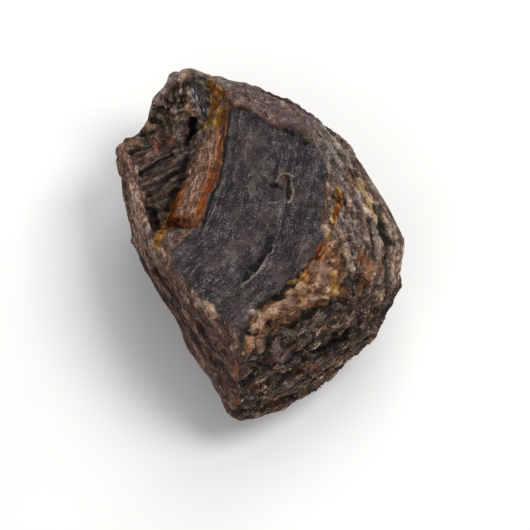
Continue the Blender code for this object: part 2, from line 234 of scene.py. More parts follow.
@dataclass(frozen=True)
class DrawingSheet:
    """The slanted sheet that outlines are drawn on, as the lump is seen from it.

    The sheet leans back from upright, and is looked at square on from the given distance.
    """

    elevation: float = 65.0
    distance: float = 500.0
    centre: Triple = (0.99, -4.54, 14.0)

    def toward(self) -> Array:
        """The direction from the lump to whoever looks at the sheet."""
        lean = math.radians(self.elevation)
        return np.array([0.0, -math.cos(lean), math.sin(lean)])

    def place(self, points: Array) -> Array:
        """Where each point of the lump shows on the sheet.

        Args:
            points: one row of three for each point, in mm.

        Returns:
            One row of two for each point, in mm.
        """
        lean = math.radians(self.elevation)
        x, y, z = (points - np.array(self.centre)).T
        toward = z * math.sin(lean) - y * math.cos(lean)
        up = y * math.sin(lean) + z * math.cos(lean)
        nearer = self.distance / (self.distance - toward)
        return np.column_stack((x * nearer, up * nearer))

    def facing(self, normals: Array) -> Array:
        """How squarely each surface direction looks at the sheet: 1 is full on."""
        return normals @ self.toward()


@dataclass(frozen=True)
class Strand:
    """A line drawn on the sheet, with its corners cut twice so that it runs smoothly."""

    corners: tuple[Pair, ...]

    def path(self) -> Array:
        """The points of the smooth line.

        Returns:
            One row of two for each point.
        """
        line = np.array(self.corners)
        for _ in range(2):
            early = 0.75 * line[:-1] + 0.25 * line[1:]
            late = 0.25 * line[:-1] + 0.75 * line[1:]
            middle = np.stack((early, late), axis=1).reshape(-1, 2)
            line = np.vstack((line[:1], middle, line[-1:]))
        return line

    def measure(self, sheet: Array) -> tuple[Array, Array]:
        """How each point lies to the line.

        Args:
            sheet: places on the sheet.

        Returns:
            The distance across, over 0 on the line's left, and the distance along it.
        """
        line = self.path()
        best = np.full(len(sheet), np.inf)
        across = np.zeros(len(sheet))
        along = np.zeros(len(sheet))
        gone = 0.0
        for start, end in zip(line[:-1], line[1:]):
            run = end - start
            length = float(np.hypot(*run))
            part = (sheet - start) @ run / length**2
            held = np.clip(part, 0.0, 1.0)
            gap = sheet - start - held[:, None] * run
            far = np.hypot(gap[:, 0], gap[:, 1])
            turn = run[0] * gap[:, 1] - run[1] * gap[:, 0]
            nearer = far < best
            best = np.where(nearer, far, best)
            across = np.where(nearer, far * np.where(turn < 0, -1.0, 1.0), across)
            along = np.where(nearer, gone + held * length, along)
            gone += length
        return across, along


@dataclass(frozen=True)
class Outline:
    """A closed outline drawn on the sheet."""

    corners: tuple[Pair, ...]

    def depth(self, sheet: Array) -> Array:
        """How far inside the outline each place is, and below 0 outside it.

        Args:
            sheet: places on the sheet.

        Returns:
            One distance for each place.
        """
        ring = list(self.corners) + [self.corners[0]]
        best = np.full(len(sheet), np.inf)
        odd = np.zeros(len(sheet), bool)
        x, y = sheet.T
        for (x0, y0), (x1, y1) in zip(ring[:-1], ring[1:]):
            run = np.array([x1 - x0, y1 - y0])
            part = np.clip((sheet - (x0, y0)) @ run / (run @ run), 0.0, 1.0)
            gap = sheet - (x0, y0) - part[:, None] * run
            best = np.minimum(best, np.hypot(gap[:, 0], gap[:, 1]))
            if y0 != y1:
                spans = (y0 > y) != (y1 > y)
                odd ^= spans & (x < x0 + (y - y0) * (x1 - x0) / (y1 - y0))
        return np.where(odd, best, -best)


@dataclass(frozen=True)
class Stroke:
    """One small feature laid along a line: a ridge, a groove, a pit or a stain.

    Calm is how much of the relief under the stroke it smooths away.
    """

    corners: tuple[Pair, ...]
    reach: float
    height: float = 0.0
    look: Look | None = None
    share: float = 0.0
    edge: float = 0.6
    calm: float = 0.0

    def near(self, surface: "FineSurface") -> tuple[Array, Array]:
        """Finds what the stroke touches.

        Args:
            surface: the lump's surface.

        Returns:
            The numbers of the points that it touches, and for each its nearness to the
            line, from 0 at the reach to 1.
        """
        wander = min(max(self.reach / surface.full_wander, surface.least_wander), 1.0)
        place = surface.sheet + wander * (surface.ragged - surface.sheet)
        corners = np.array(self.corners)
        low, high = corners.min(axis=0) - self.reach, corners.max(axis=0) + self.reach
        inside = ((place > low) & (place < high)).all(axis=1)
        touched = np.flatnonzero(inside & (surface.facing > TURNED_AWAY))
        gap, _ = Strand(self.corners).measure(place[touched])
        fading = ramp(surface.facing[touched], TURNED_AWAY, 0.0)
        return touched, bump(gap, self.reach) * fading


def draw(*rows: tuple) -> tuple[Stroke, ...]:
    """Makes strokes from short rows.

    Args:
        rows: each gives a stroke's reach, height, look, share, edge and calm, as far as
            it needs them, and then its corners.

    Returns:
        The strokes, in the same order.
    """
    made = []
    for row in rows:
        corners = tuple(item for item in row if isinstance(item, tuple))
        made.append(Stroke(corners, *row[:-len(corners)]))
    return tuple(made)


@dataclass(frozen=True)
class Blotches:
    """Patches of one look scattered over a region."""

    look: Look
    size: float
    share: float
    shift: float
    edge: Pair = (0.12, 0.5)


@dataclass(frozen=True)
class Relief:
    """One kind of relief: how high it stands, how much it paints crests light and hollows
    dark, and its size.

    Where it follows the fibres, stretch is how much longer it is across, along and
    deep than its size; without one it lies alike every way.
    """

    pattern: Pattern
    height: float
    tint: float
    size: float
    octaves: int = 1
    shift: float = 0.0
    stretch: Triple | None = None

    def value(self, points: Array, run: Array) -> Array:
        """The pattern at each point, from about -1 in hollows to 1 on crests.

        Args:
            points: one row of three for each point, in mm.
            run: how far each point is across, along and deep in the fibres.

        Returns:
            One value for each point.
        """
        placed = points if self.stretch is None else run / np.array(self.stretch)
        if self.pattern is Pattern.CRAG:
            return crag(placed, self.size, self.shift)
        broken = crevice if self.pattern is Pattern.CREVICE else swell
        return broken(placed, self.size, self.octaves, self.shift)


# -------------------------------------------------------------- the fine mesh
def link(obj: bpy.types.Object) -> bpy.types.Object:
    """Puts an object into the scene and hands it back."""
    bpy.context.scene.collection.objects.link(obj)
    return obj


def smooth_object(name: str, points: Array, faces: list) -> bpy.types.Object:
    """Makes a smooth object in the scene.

    Args:
        name: name of the object.
        points: one row of three for each point, in mm.
        faces: the numbers of each face's points.

    Returns:
        The object.
    """
    mesh = bpy.data.meshes.new(name)
    mesh.from_pydata((points * MM).tolist(), [], faces)
    mesh.polygons.foreach_set("use_smooth", [True] * len(mesh.polygons))
    mesh.update()
    return link(bpy.data.objects.new(name, mesh))


def settle(obj: bpy.types.Object) -> None:
    """Turns an object's modifiers into plain mesh.

    Args:
        obj: the object.
    """
    graph = bpy.context.evaluated_depsgraph_get()
    mesh = bpy.data.meshes.new_from_object(obj.evaluated_get(graph))
    obj.modifiers.clear()
    obj.data = mesh


@dataclass
class FineSurface:
    """The lump's surface as a fine mesh, with what is worked out for each point of it.

    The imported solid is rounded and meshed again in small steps. Sub-assemblies then
    raise it and mark their regions on it, and at the end it is thinned underneath.
    """

    node: str = NODE
    step: float = 0.25
    merge: float = 0.002
    smoothing: int = 6
    most_faces: int = 197_000
    thinned_from: float = -0.12
    sheet_plan: DrawingSheet = field(default_factory=DrawingSheet)
    rag_size: float = 2.2
    rag_reach: float = 0.55
    full_wander: float = 1.6
    least_wander: float = 0.42
    tear_size: float = 0.8
    tear_reach: float = 0.8
    # How much lighter raised strokes and darker sunk ones are painted, as painted light and
    # shade.
    stroke_tint: float = 1.2
    rim_relief: float = 0.25
    rim_width: float = 0.2
    points: Array = field(init=False)
    normals: Array = field(init=False)
    faces: Array = field(init=False)
    sheet: Array = field(init=False)
    ragged: Array = field(init=False)
    facing: Array = field(init=False)
    clear: Array = field(init=False)
    rise: Array = field(init=False)
    carve: Array = field(init=False)
    # Painted light on crests and painted shade in hollows, 1 to -1.
    relief: Array = field(init=False)
    grain: Array = field(init=False)
    marks: dict[Look, Array] = field(init=False, default_factory=dict)

    def refine(self) -> None:
        """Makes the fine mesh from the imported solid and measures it."""
        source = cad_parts[self.node]
        obj = link(bpy.data.objects.new("fine_surface", source.data.copy()))
        cleaned = bmesh.new()
        cleaned.from_mesh(obj.data)
        bmesh.ops.remove_doubles(cleaned, verts=cleaned.verts, dist=self.merge * MM)
        cleaned.to_mesh(obj.data)
        cleaned.free()
        rounded = obj.modifiers.new("rounded", "SUBSURF")
        rounded.levels = 1
        remesh = obj.modifiers.new("fine", "REMESH")
        remesh.mode = "VOXEL"
        remesh.voxel_size = self.step * MM
        smooth = obj.modifiers.new("even", "SMOOTH")
        smooth.factor = 0.5
        smooth.iterations = self.smoothing
        settle(obj)
        self.read(obj)
        bpy.data.objects.remove(obj)

    def read(self, obj: bpy.types.Object) -> None:
        """Takes points, triangles and directions from the mesh.

        Args:
            obj: the finely meshed lump.
        """
        mesh = obj.data
        count = len(mesh.vertices)
        flat = np.empty(count * 3, np.float32)
        mesh.vertices.foreach_get("co", flat)
        self.points = flat.reshape(-1, 3).astype(float) / MM
        mesh.calc_loop_triangles()
        corners = np.empty(len(mesh.loop_triangles) * 3, np.int32)
        mesh.loop_triangles.foreach_get("vertices", corners)
        self.faces = corners.reshape(-1, 3)
        self.normals = self.directions()
        self.sheet = self.sheet_plan.place(self.points)
        self.facing = self.sheet_plan.facing(self.normals)
        lean = [
            swell(self.points, self.rag_size, 4, shift) * self.rag_reach
            for shift in (3.1, 17.9)
        ]
        self.ragged = self.sheet + np.column_stack(lean)
        bent = self.facing + 0.1 * swell(self.points, 5.0, 2, 111.0)
        away = ramp(np.abs(bent), 0.0, self.rim_width)
        self.clear = self.rim_relief + (1.0 - self.rim_relief) * away
        self.rise, self.carve, self.relief = np.zeros((3, count))
        self.grain = self.points.copy()

    def directions(self) -> Array:
        """The direction that the surface faces at each point.

        Returns:
            One unit row of three for each point.
        """
        a, b, c = (self.points[self.faces[:, k]] for k in range(3))
        turned = np.cross(b - a, c - a)
        total = np.zeros_like(self.points)
        for k in range(3):
            np.add.at(total, self.faces[:, k], turned)
        length = np.linalg.norm(total, axis=1, keepdims=True)
        return total / np.maximum(length, 1e-12)

    def mark(self, look: Look, share: Array) -> Array:
        """Keeps a look's share of each point, and hands it back."""
        self.marks[look] = np.maximum(self.marks.get(look, 0.0), share)
        return share

    def cover(self, look: Look, outline: Outline, edge: Pair, fade: Pair = SHOWN) -> Array:
        """Marks what lies within an outline.

        Args:
            look: the look that it gets.
            outline: the outline on the sheet.
            edge: how far in from the outline it starts, and is complete.
            fade: how squarely the surface faces the sheet where it starts, and is
                complete.

        Returns:
            Its share of each point.
        """
        inside = ramp(outline.depth(self.ragged), *edge)
        return self.mark(look, inside * ramp(self.facing, *fade))

    def measure(self, line: Strand) -> Array:
        """How far each point is across a line, along it and up, one row for each."""
        across, along = line.measure(self.sheet)
        return np.column_stack((across, along, self.points[:, 2]))

    def run_along(self, share: Array, run: Array, seed: float) -> None:
        """Lays the fibres of a region.

        Args:
            share: the region's share of each point.
            run: how far each point is across, along and deep.
            seed: keeps one region's pattern from matching another's.
        """
        moved = run + np.array([seed, seed, 0.0])
        self.grain = np.where(share[:, None] > 0.5, moved, self.grain)

    def raise_by(self, height: Array, relief: Array) -> None:
        """Adds height, and crest and hollow as painted light and shade, 1 to -1."""
        self.rise += height * self.clear
        self.relief += relief

    def emboss(self, share: Array, run: Array, reliefs: tuple[Relief, ...],
               paler: float = 0.0, raised: Array | None = None) -> None:
        """Raises a region by its kinds of relief, and paints light on their crests and shade
        in their hollows.

        Args:
            share: the region's share of each point.
            run: how far each point is across, along and deep in the fibres.
            reliefs: the kinds of relief.
            paler: lightens the whole region.
            raised: the share that is raised, where it isn't the same.
        """
        used = np.flatnonzero(share > 0.0)
        height = np.zeros(len(share))
        # The region's own lift, then painted light on crests and painted shade in hollows.
        tint = np.full(len(share), paler)
        for relief in reliefs:
            value = relief.value(self.points[used], run[used])
            height[used] += relief.height * value
            tint[used] += relief.tint * value
        self.raise_by((share if raised is None else raised) * height, share * tint)

    def lay(self, strokes: tuple[Stroke, ...]) -> None:
        """Lays strokes on the surface, one over another.

        Args:
            strokes: the strokes, in the order in which they are laid.
        """
        for stroke in strokes:
            touched, near = stroke.near(self)
            torn = swell(self.points[touched], self.tear_size, 2, 61.0)
            near = np.clip(near * (1.0 + self.tear_reach * torn), 0.0, 1.0)
            kept = 1.0 - stroke.calm * ramp(near, 0.0, 0.5)
            raised = stroke.height * near
            self.rise[touched] = self.rise[touched] * kept + raised
            # Painted light on raised strokes and painted shade in sunk ones.
            self.relief[touched] = (
                self.relief[touched] * kept + self.stroke_tint * raised)
            if stroke.look is None:
                continue
            share = np.zeros(len(self.points))
            share[touched] = stroke.share * ramp(near, 0.0, stroke.edge)
            for look in stroke.look.later():
                if look in self.marks:
                    self.marks[look] *= 1.0 - share
            self.mark(stroke.look, share)

    def scatter(self, share: Array, kinds: tuple[Blotches, ...]) -> None:
        """Scatters patches of other looks over a region.

        Args:
            share: the region's share of each point.
            kinds: what is scattered.
        """
        used = np.flatnonzero(share > 0.0)
        for kind in kinds:
            patches = swell(self.points[used], kind.size, 4, kind.shift)
            laid = np.zeros(len(share))
            laid[used] = kind.share * share[used] * ramp(patches, *kind.edge)
            self.mark(kind.look, laid)

    def build(self, name: str) -> bpy.types.Object:
        """Makes the lump's own object.

        Args:
            name: name of the object.

        Returns:
            The object, with the marks, the relief's painted light and shade, and the grain
            as attributes.
        """
        placed = self.points + self.normals * (self.rise - self.carve)[:, None]
        placed[:, 2] = np.maximum(placed[:, 2], self.points[:, 2].min())
        obj = smooth_object(name, placed, self.faces.tolist())
        # The relief attribute carries the painted light and shade.
        shade = np.clip(0.5 + 0.5 * self.relief, 0.0, 1.0)
        kept = {look.value: share for look, share in self.marks.items()}
        for label, values in {**kept, "relief": shade}.items():
            layer = obj.data.attributes.new(label, "FLOAT", "POINT")
            layer.data.foreach_set("value", values.astype(np.float32))
        layer = obj.data.attributes.new("grain", "FLOAT_VECTOR", "POINT")
        layer.data.foreach_set("vector", self.grain.astype(np.float32).ravel())
        self.thin_underneath(obj)
        return obj

    def thin_underneath(self, obj: bpy.types.Object) -> None:
        """Takes points away on the side that faces the ground, down to the most faces.

        Args:
            obj: the lump's own object.
        """
        group = obj.vertex_groups.new(name="underneath")
        hidden = np.flatnonzero(self.facing < self.thinned_from)
        group.add(hidden.tolist(), 1.0, "REPLACE")
        thin = obj.modifiers.new("thin", "DECIMATE")
        thin.ratio = min(1.0, self.most_faces / len(self.faces))
        thin.vertex_group = group.name
        settle(obj)
        obj.vertex_groups.clear()


# ------------------------------------------------------------ node tree helper
class Tree:
    """Short ways to add shader nodes to a material."""

    def __init__(self, name: str) -> None:
        """Starts an empty material.

        Args:
            name: name of the material.
        """
        self.material = bpy.data.materials.new(name)
        self.material.use_nodes = True
        self.nodes = self.material.node_tree.nodes
        self.links = self.material.node_tree.links
        self.nodes.clear()

    def add(self, kind: str, inputs: dict[str | int, object],
            **settings: object) -> bpy.types.Node:
        """Adds one node.

        Args:
            kind: the node's type, without ShaderNode before it.
            inputs: what goes into its sockets, as sources or plain values.
            settings: its own properties.

        Returns:
            The node.
        """
        node = self.nodes.new("ShaderNode" + kind)
        for key, value in settings.items():
            setattr(node, key, value)
        for key, value in inputs.items():
            if isinstance(value, bpy.types.NodeSocket):
                self.links.new(value, node.inputs[key])
            else:
                node.inputs[key].default_value = value
        return node

    def place(self) -> Socket:
        """Coordinates that lie still in the object, in metres."""
        return self.add("TexCoord", {}).outputs["Object"]

    def attribute(self, name: str, output: str = "Fac") -> Socket:
        """Reads one of the mesh's attributes."""
        return self.add("Attribute", {}, attribute_name=name).outputs[output]

    def math(self, operation: str, *values: object, clamp: bool = False) -> Socket:
        """One arithmetic step on numbers or sockets."""
        inputs = dict(enumerate(values))
        return self.add("Math", inputs, operation=operation, use_clamp=clamp).outputs[0]

    def stretch(self, vector: Socket, sizes: Triple) -> Socket:
        """Scales coordinates so that a pattern comes out at the given sizes."""
        scale = tuple(1.0 / size for size in sizes)
        return self.add("Mapping", {"Vector": vector, "Scale": scale}).outputs[0]

    def swirl(self, vector: Socket, detail: float, rough: float) -> bpy.types.Node:
        """Layered noise, one swell to a unit of the coordinates."""
        return self.add("TexNoise", {"Vector": vector, "Scale": 1.0, "Detail": detail,
                                     "Roughness": rough})

    def cloud(self, vector: Socket, detail: float, rough: float) -> Socket:
        """Layered noise as one number, centred on about 0.5."""
        return self.swirl(vector, detail, rough).outputs["Fac"]

    def grains(self, vector: Socket, feature: str = "F1") -> bpy.types.Node:
        """Cells, one to a unit of the coordinates."""
        return self.add("TexVoronoi", {"Vector": vector, "Scale": 1.0}, feature=feature)

    def split(self, colour: Socket) -> bpy.types.Node:
        """Parts a colour into its three channels."""
        return self.add("SeparateColor", {0: colour})

    def warp(self, vector: Socket, size: float, reach: float) -> Socket:
        """Bends coordinates, so that what is laid on them comes out ragged.

        Args:
            vector: the coordinates.
            size: how far it is from one bend to the next.
            reach: how far the bends may carry them.

        Returns:
            The bent coordinates.
        """
        swirl = self.swirl(self.stretch(vector, (size,) * 3), 3.0, 0.5)
        centred = self.add("VectorMath", {0: swirl.outputs["Color"], 1: (0.5,) * 3},
                           operation="SUBTRACT")
        bent = self.add("VectorMath", {0: centred.outputs[0], 1: (reach,) * 3, 2: vector},
                        operation="MULTIPLY_ADD")
        return bent.outputs[0]

    def rescale(self, value: Socket, low: float, high: float, to_low: float = 0.0,
                to_high: float = 1.0) -> Socket:
        """Stretches the range from low to high over the new range, and holds it there."""
        inputs = dict(enumerate((value, low, high, to_low, to_high)))
        return self.add("MapRange", inputs, clamp=True).outputs[0]

    def tones(self, value: Socket, stops: list[tuple[float, tuple]]) -> Socket:
        """Colours along a value.

        Args:
            value: the value.
            stops: places from 0 to 1, each with its colour.

        Returns:
            The colour.
        """
        node = self.add("ValToRGB", {0: value})
        elements = node.color_ramp.elements
        while len(elements) < len(stops):
            elements.new(0.5)
        for element, (place, colour) in zip(elements, stops):
            element.position = place
            element.color = colour
        return node.outputs[0]

    def blend(self, share: object, under: object, over: object) -> Socket:
        """Lays one colour over another by a share."""
        inputs = {0: share, 6: under, 7: over}
        return self.add("Mix", inputs, data_type="RGBA").outputs[2]

    def between(self, share: object, under: object, over: object) -> Socket:
        """Goes from one number to another by a share."""
        inputs = {0: share, 2: under, 3: over}
        return self.add("Mix", inputs, data_type="FLOAT").outputs[0]

    def lift(self, height: Socket, strength: float, distance: float) -> Socket:
        """Tilts the surface by a height, with the distance in mm."""
        return self.add("Bump", {"Height": height, "Strength": strength,
                                 "Distance": distance * MM}).outputs[0]

    def finish(self, sockets: dict[str, object],
               volume: Socket | None = None) -> bpy.types.Material:
        """Adds the shader and the output.

        Args:
            sockets: what goes into the shader's sockets.
            volume: what fills a see-through body.

        Returns:
            The finished material.
        """
        shader = self.add("BsdfPrincipled", sockets)
        out = self.add("OutputMaterial", {"Surface": shader.outputs[0]})
        if volume is not None:
            self.links.new(volume, out.inputs["Volume"])
        return self.material


# -------------------------------------------------------------------- finishes
@dataclass(frozen=True)
class SkinFinish:
    """One look of the lump's skin, from its hollows to its crests.

    The pattern is a sum of shared textures, each with this finish's own weight.
    """

    look: Look
    tones: tuple[Colour, ...]
    specks: float = 0.12
    mottle: float = 0.08
    fibres: float = 0.0
    bands: float = 0.0
    # How strongly the mesh's painted light on crests and painted shade in hollows show in
    # this finish.
    relief: float = 0.4
    threads: float = 0.0
    cracks: float = 0.0
    glints: float = 0.0
    pits: float = 0.0
    strands: float = 0.0
    flakes: float = 0.0
    web: float = 0.0
    roughness: float = 0.7
    stops: tuple[float, ...] = (0.0, 0.3, 0.5, 0.7, 1.0)

    def colours(self) -> list[tuple[float, tuple]]:
        """The ramp's places and linear colours."""
        return [(at, tone(*shown)) for at, shown in zip(self.stops, self.tones)]


DARKENING = ("cracks", "pits", "web")
FINISHES = (
    SkinFinish(Look.CRUST,
        ((14, 9, 7), (58, 43, 35), (88, 67, 55), (120, 96, 82), (190, 164, 144)),
        specks=0.09, bands=0.06, relief=0.65, threads=0.2, cracks=0.35, glints=0.4,
        pits=0.4, strands=0.15, flakes=0.1, web=0.2, roughness=0.8),
    SkinFinish(Look.SHOULDER,
        ((22, 14, 11), (78, 57, 47), (114, 90, 78), (150, 124, 109), (222, 200, 180)),
        specks=0.1, mottle=0.07, bands=0.1, relief=0.7, threads=0.3, cracks=0.42,
        glints=0.45, pits=0.4, strands=0.34, flakes=0.11, web=0.22, roughness=0.75),
    SkinFinish(Look.BEVEL,
        ((32, 21, 19), (72, 52, 48), (96, 73, 68), (122, 97, 90), (182, 156, 146)),
        specks=0.15, mottle=0.11, relief=0.5, threads=0.4, cracks=0.3, glints=0.5, pits=0.3,
        strands=0.15, flakes=0.05, web=0.12, roughness=0.8),
    SkinFinish(Look.ROUGH,
        ((6, 4, 3), (44, 31, 23), (86, 61, 47), (132, 102, 82), (222, 196, 168)),
        specks=0.09, mottle=0.06, fibres=0.06, bands=0.08, relief=0.72, threads=0.46,
        cracks=0.35, glints=0.45, pits=0.35, strands=0.5, flakes=0.1, web=0.3,
        roughness=0.8),
    SkinFinish(Look.FLANK,
        ((24, 14, 11), (62, 40, 33), (82, 55, 47), (105, 75, 65), (160, 128, 112)),
        specks=0.08, fibres=0.1, bands=0.11, relief=0.35, threads=0.12, cracks=0.4,
        strands=0.15, flakes=0.06, web=0.15, roughness=0.75),
    SkinFinish(Look.RIM,
        ((34, 22, 18), (84, 58, 48), (114, 82, 70), (146, 112, 97), (206, 178, 160)),
        mottle=0.09, fibres=0.09, bands=0.08, relief=0.5, threads=0.26, cracks=0.35,
        glints=0.35, pits=0.3, strands=0.2, flakes=0.06, web=0.18),
    SkinFinish(Look.HEAD,
        ((12, 8, 7), (84, 62, 51), (142, 113, 99), (188, 162, 146), (238, 220, 204)),
        specks=0.11, relief=0.75, threads=0.25, glints=0.4, pits=0.3, strands=0.3,
        flakes=0.1, web=0.25, roughness=0.75),
    SkinFinish(Look.NOTCH,
        ((5, 3, 3), (40, 27, 21), (74, 53, 43), (106, 81, 68), (170, 142, 122)),
        relief=0.65, threads=0.1, flakes=0.08, web=0.15),
    SkinFinish(Look.SLAB,
        ((8, 5, 4), (38, 27, 22), (60, 45, 38), (84, 66, 57), (142, 120, 106)),
        specks=0.07, mottle=0.09, fibres=0.09, relief=0.55, cracks=0.1, strands=0.16,
        flakes=0.05, web=0.1, roughness=0.55),
    SkinFinish(Look.GOLD,
        ((36, 17, 9), (102, 66, 44), (138, 98, 70), (174, 133, 102), (234, 206, 176)),
        specks=0.08, mottle=0.1, fibres=0.04, relief=0.58, threads=0.18, glints=0.3,
        strands=0.18, flakes=0.1, web=0.3, roughness=0.5),
    SkinFinish(Look.SLATE,
        ((10, 9, 11), (38, 34, 37), (53, 48, 51), (67, 62, 64), (144, 138, 135)),
        specks=0.17, mottle=0.06, fibres=0.02, bands=0.05, relief=0.22, threads=0.1,
        cracks=0.32, glints=0.3, pits=0.45, strands=0.1, flakes=0.04, web=0.05,
        roughness=0.5),
    SkinFinish(Look.LINED_SLATE,
        ((6, 5, 7), (34, 30, 33), (51, 46, 49), (69, 64, 66), (152, 146, 142)),
        specks=0.13, mottle=0.06, fibres=0.07, bands=0.1, relief=0.3, threads=0.14,
        cracks=0.4, glints=0.24, pits=0.4, strands=0.3, roughness=0.5),
    SkinFinish(Look.VEIN,
        ((46, 24, 14), (104, 67, 48), (138, 94, 71), (172, 130, 104), (228, 198, 170)),
        specks=0.16, mottle=0.06, fibres=0.12, threads=0.1, cracks=0.2, glints=0.5,
        pits=0.45, strands=0.12, flakes=0.05, web=0.18),
    SkinFinish(Look.GREY,
        ((24, 20, 19), (78, 71, 69), (107, 99, 97), (138, 129, 125), (200, 190, 182)),
        specks=0.13, mottle=0.06, relief=0.5, threads=0.2, cracks=0.3, glints=0.4, pits=0.4,
        strands=0.22, flakes=0.05, web=0.12),
    SkinFinish(Look.MAUVE,
        ((34, 26, 27), (66, 52, 53), (83, 66, 66), (101, 82, 81), (150, 130, 124)),
        specks=0.08, relief=0.25),
    SkinFinish(Look.OLIVE,
        ((34, 31, 24), (62, 56, 46), (80, 72, 60), (98, 89, 75), (140, 130, 110)),
        specks=0.07, relief=0.25, threads=0.15, strands=0.18, roughness=0.55),
    SkinFinish(Look.STAIN,
        ((30, 12, 6), (76, 38, 21), (104, 58, 35), (134, 82, 54), (180, 128, 94)),
        specks=0.09, mottle=0.1, relief=0.3, roughness=0.6),
    SkinFinish(Look.WAXY,
        ((56, 36, 27), (98, 70, 56), (120, 88, 71), (142, 108, 90), (196, 164, 142)),
        specks=0.05, mottle=0.1, fibres=0.04, relief=0.2, glints=0.35, roughness=0.35),
    SkinFinish(Look.RED,
        ((56, 20, 14), (112, 48, 37), (140, 66, 52), (166, 92, 76), (206, 138, 118)),
        specks=0.1, relief=0.3, roughness=0.6),
    SkinFinish(Look.ORANGE_SKIN,
        ((56, 28, 10), (116, 74, 36), (144, 97, 52), (172, 124, 76), (218, 178, 128)),
        specks=0.08, mottle=0.1, relief=0.3, roughness=0.5),
    SkinFinish(Look.BLUEGREY,
        ((9, 9, 9), (28, 27, 29), (44, 43, 46), (78, 77, 83), (208, 207, 214)),
        specks=0.04, mottle=0.06, fibres=0.16, roughness=0.3),
    SkinFinish(Look.TAN,
        ((70, 48, 32), (124, 92, 68), (152, 118, 86), (178, 144, 110), (208, 180, 148)),
        relief=0.3, roughness=0.6),
    SkinFinish(Look.RUST,
        ((40, 16, 7), (94, 46, 20), (130, 72, 34), (158, 102, 58), (198, 150, 106)),
        specks=0.14),
    # Green-black colour, also used as painted shade in crevices, hollows and under ledges.
    SkinFinish(Look.GREEN_BLACK,
        ((3, 4, 3), (20, 20, 15), (42, 39, 30), (74, 66, 50), (140, 122, 94)),
        specks=0.18, mottle=0.06, relief=0.6, strands=0.12, roughness=0.6),
    SkinFinish(Look.YELLOW,
        ((80, 54, 22), (140, 106, 60), (172, 140, 88), (198, 170, 118), (232, 212, 170)),
        specks=0.1, mottle=0.1, relief=0.25, roughness=0.5),
    SkinFinish(Look.ORANGE_BED,
        ((55, 19, 2), (131, 54, 5), (173, 80, 9), (202, 112, 19), (224, 158, 64)),
        specks=0.03, mottle=0.12, fibres=0.1, relief=0.1, roughness=0.5),
    SkinFinish(Look.EMBER_BED,
        ((26, 10, 3), (72, 34, 10), (104, 54, 18), (134, 78, 30), (190, 134, 78)),
        specks=0.04, mottle=0.12, fibres=0.12, relief=0.1, roughness=0.5),
    SkinFinish(Look.YELLOW_BED,
        ((55, 30, 2), (118, 76, 8), (168, 116, 22), (210, 158, 46), (242, 214, 112)),
        specks=0.03, mottle=0.14, fibres=0.08, relief=0.1, roughness=0.5),
    SkinFinish(Look.CREAM,
        ((92, 66, 50), (146, 115, 95), (178, 147, 125), (204, 176, 154), (232, 210, 190)),
        specks=0.1, relief=0.3, flakes=0.1, web=0.2, roughness=0.6),
    SkinFinish(Look.MAROON_BED,
        ((30, 6, 6), (66, 18, 18), (92, 30, 28), (120, 48, 42), (190, 110, 96)),
        specks=0.03, fibres=0.06, relief=0.1, roughness=0.5),
    # Pale colour, also used as painted highlight along the split's lit rim and on the glassy
    # facet.
    SkinFinish(Look.PALE,
        ((92, 78, 68), (126, 110, 98), (150, 134, 122), (176, 160, 146), (212, 198, 184)),
        specks=0.1, mottle=0.05, relief=0.2, roughness=0.6),
    # Dark colour, also used as painted shade in grooves, holes, gaps and undercuts.
    SkinFinish(Look.DARK, ((3, 2, 2), (10, 7, 6), (20, 15, 12), (34, 26, 22), (58, 46, 40)),
        specks=0.1, mottle=0.06),
)


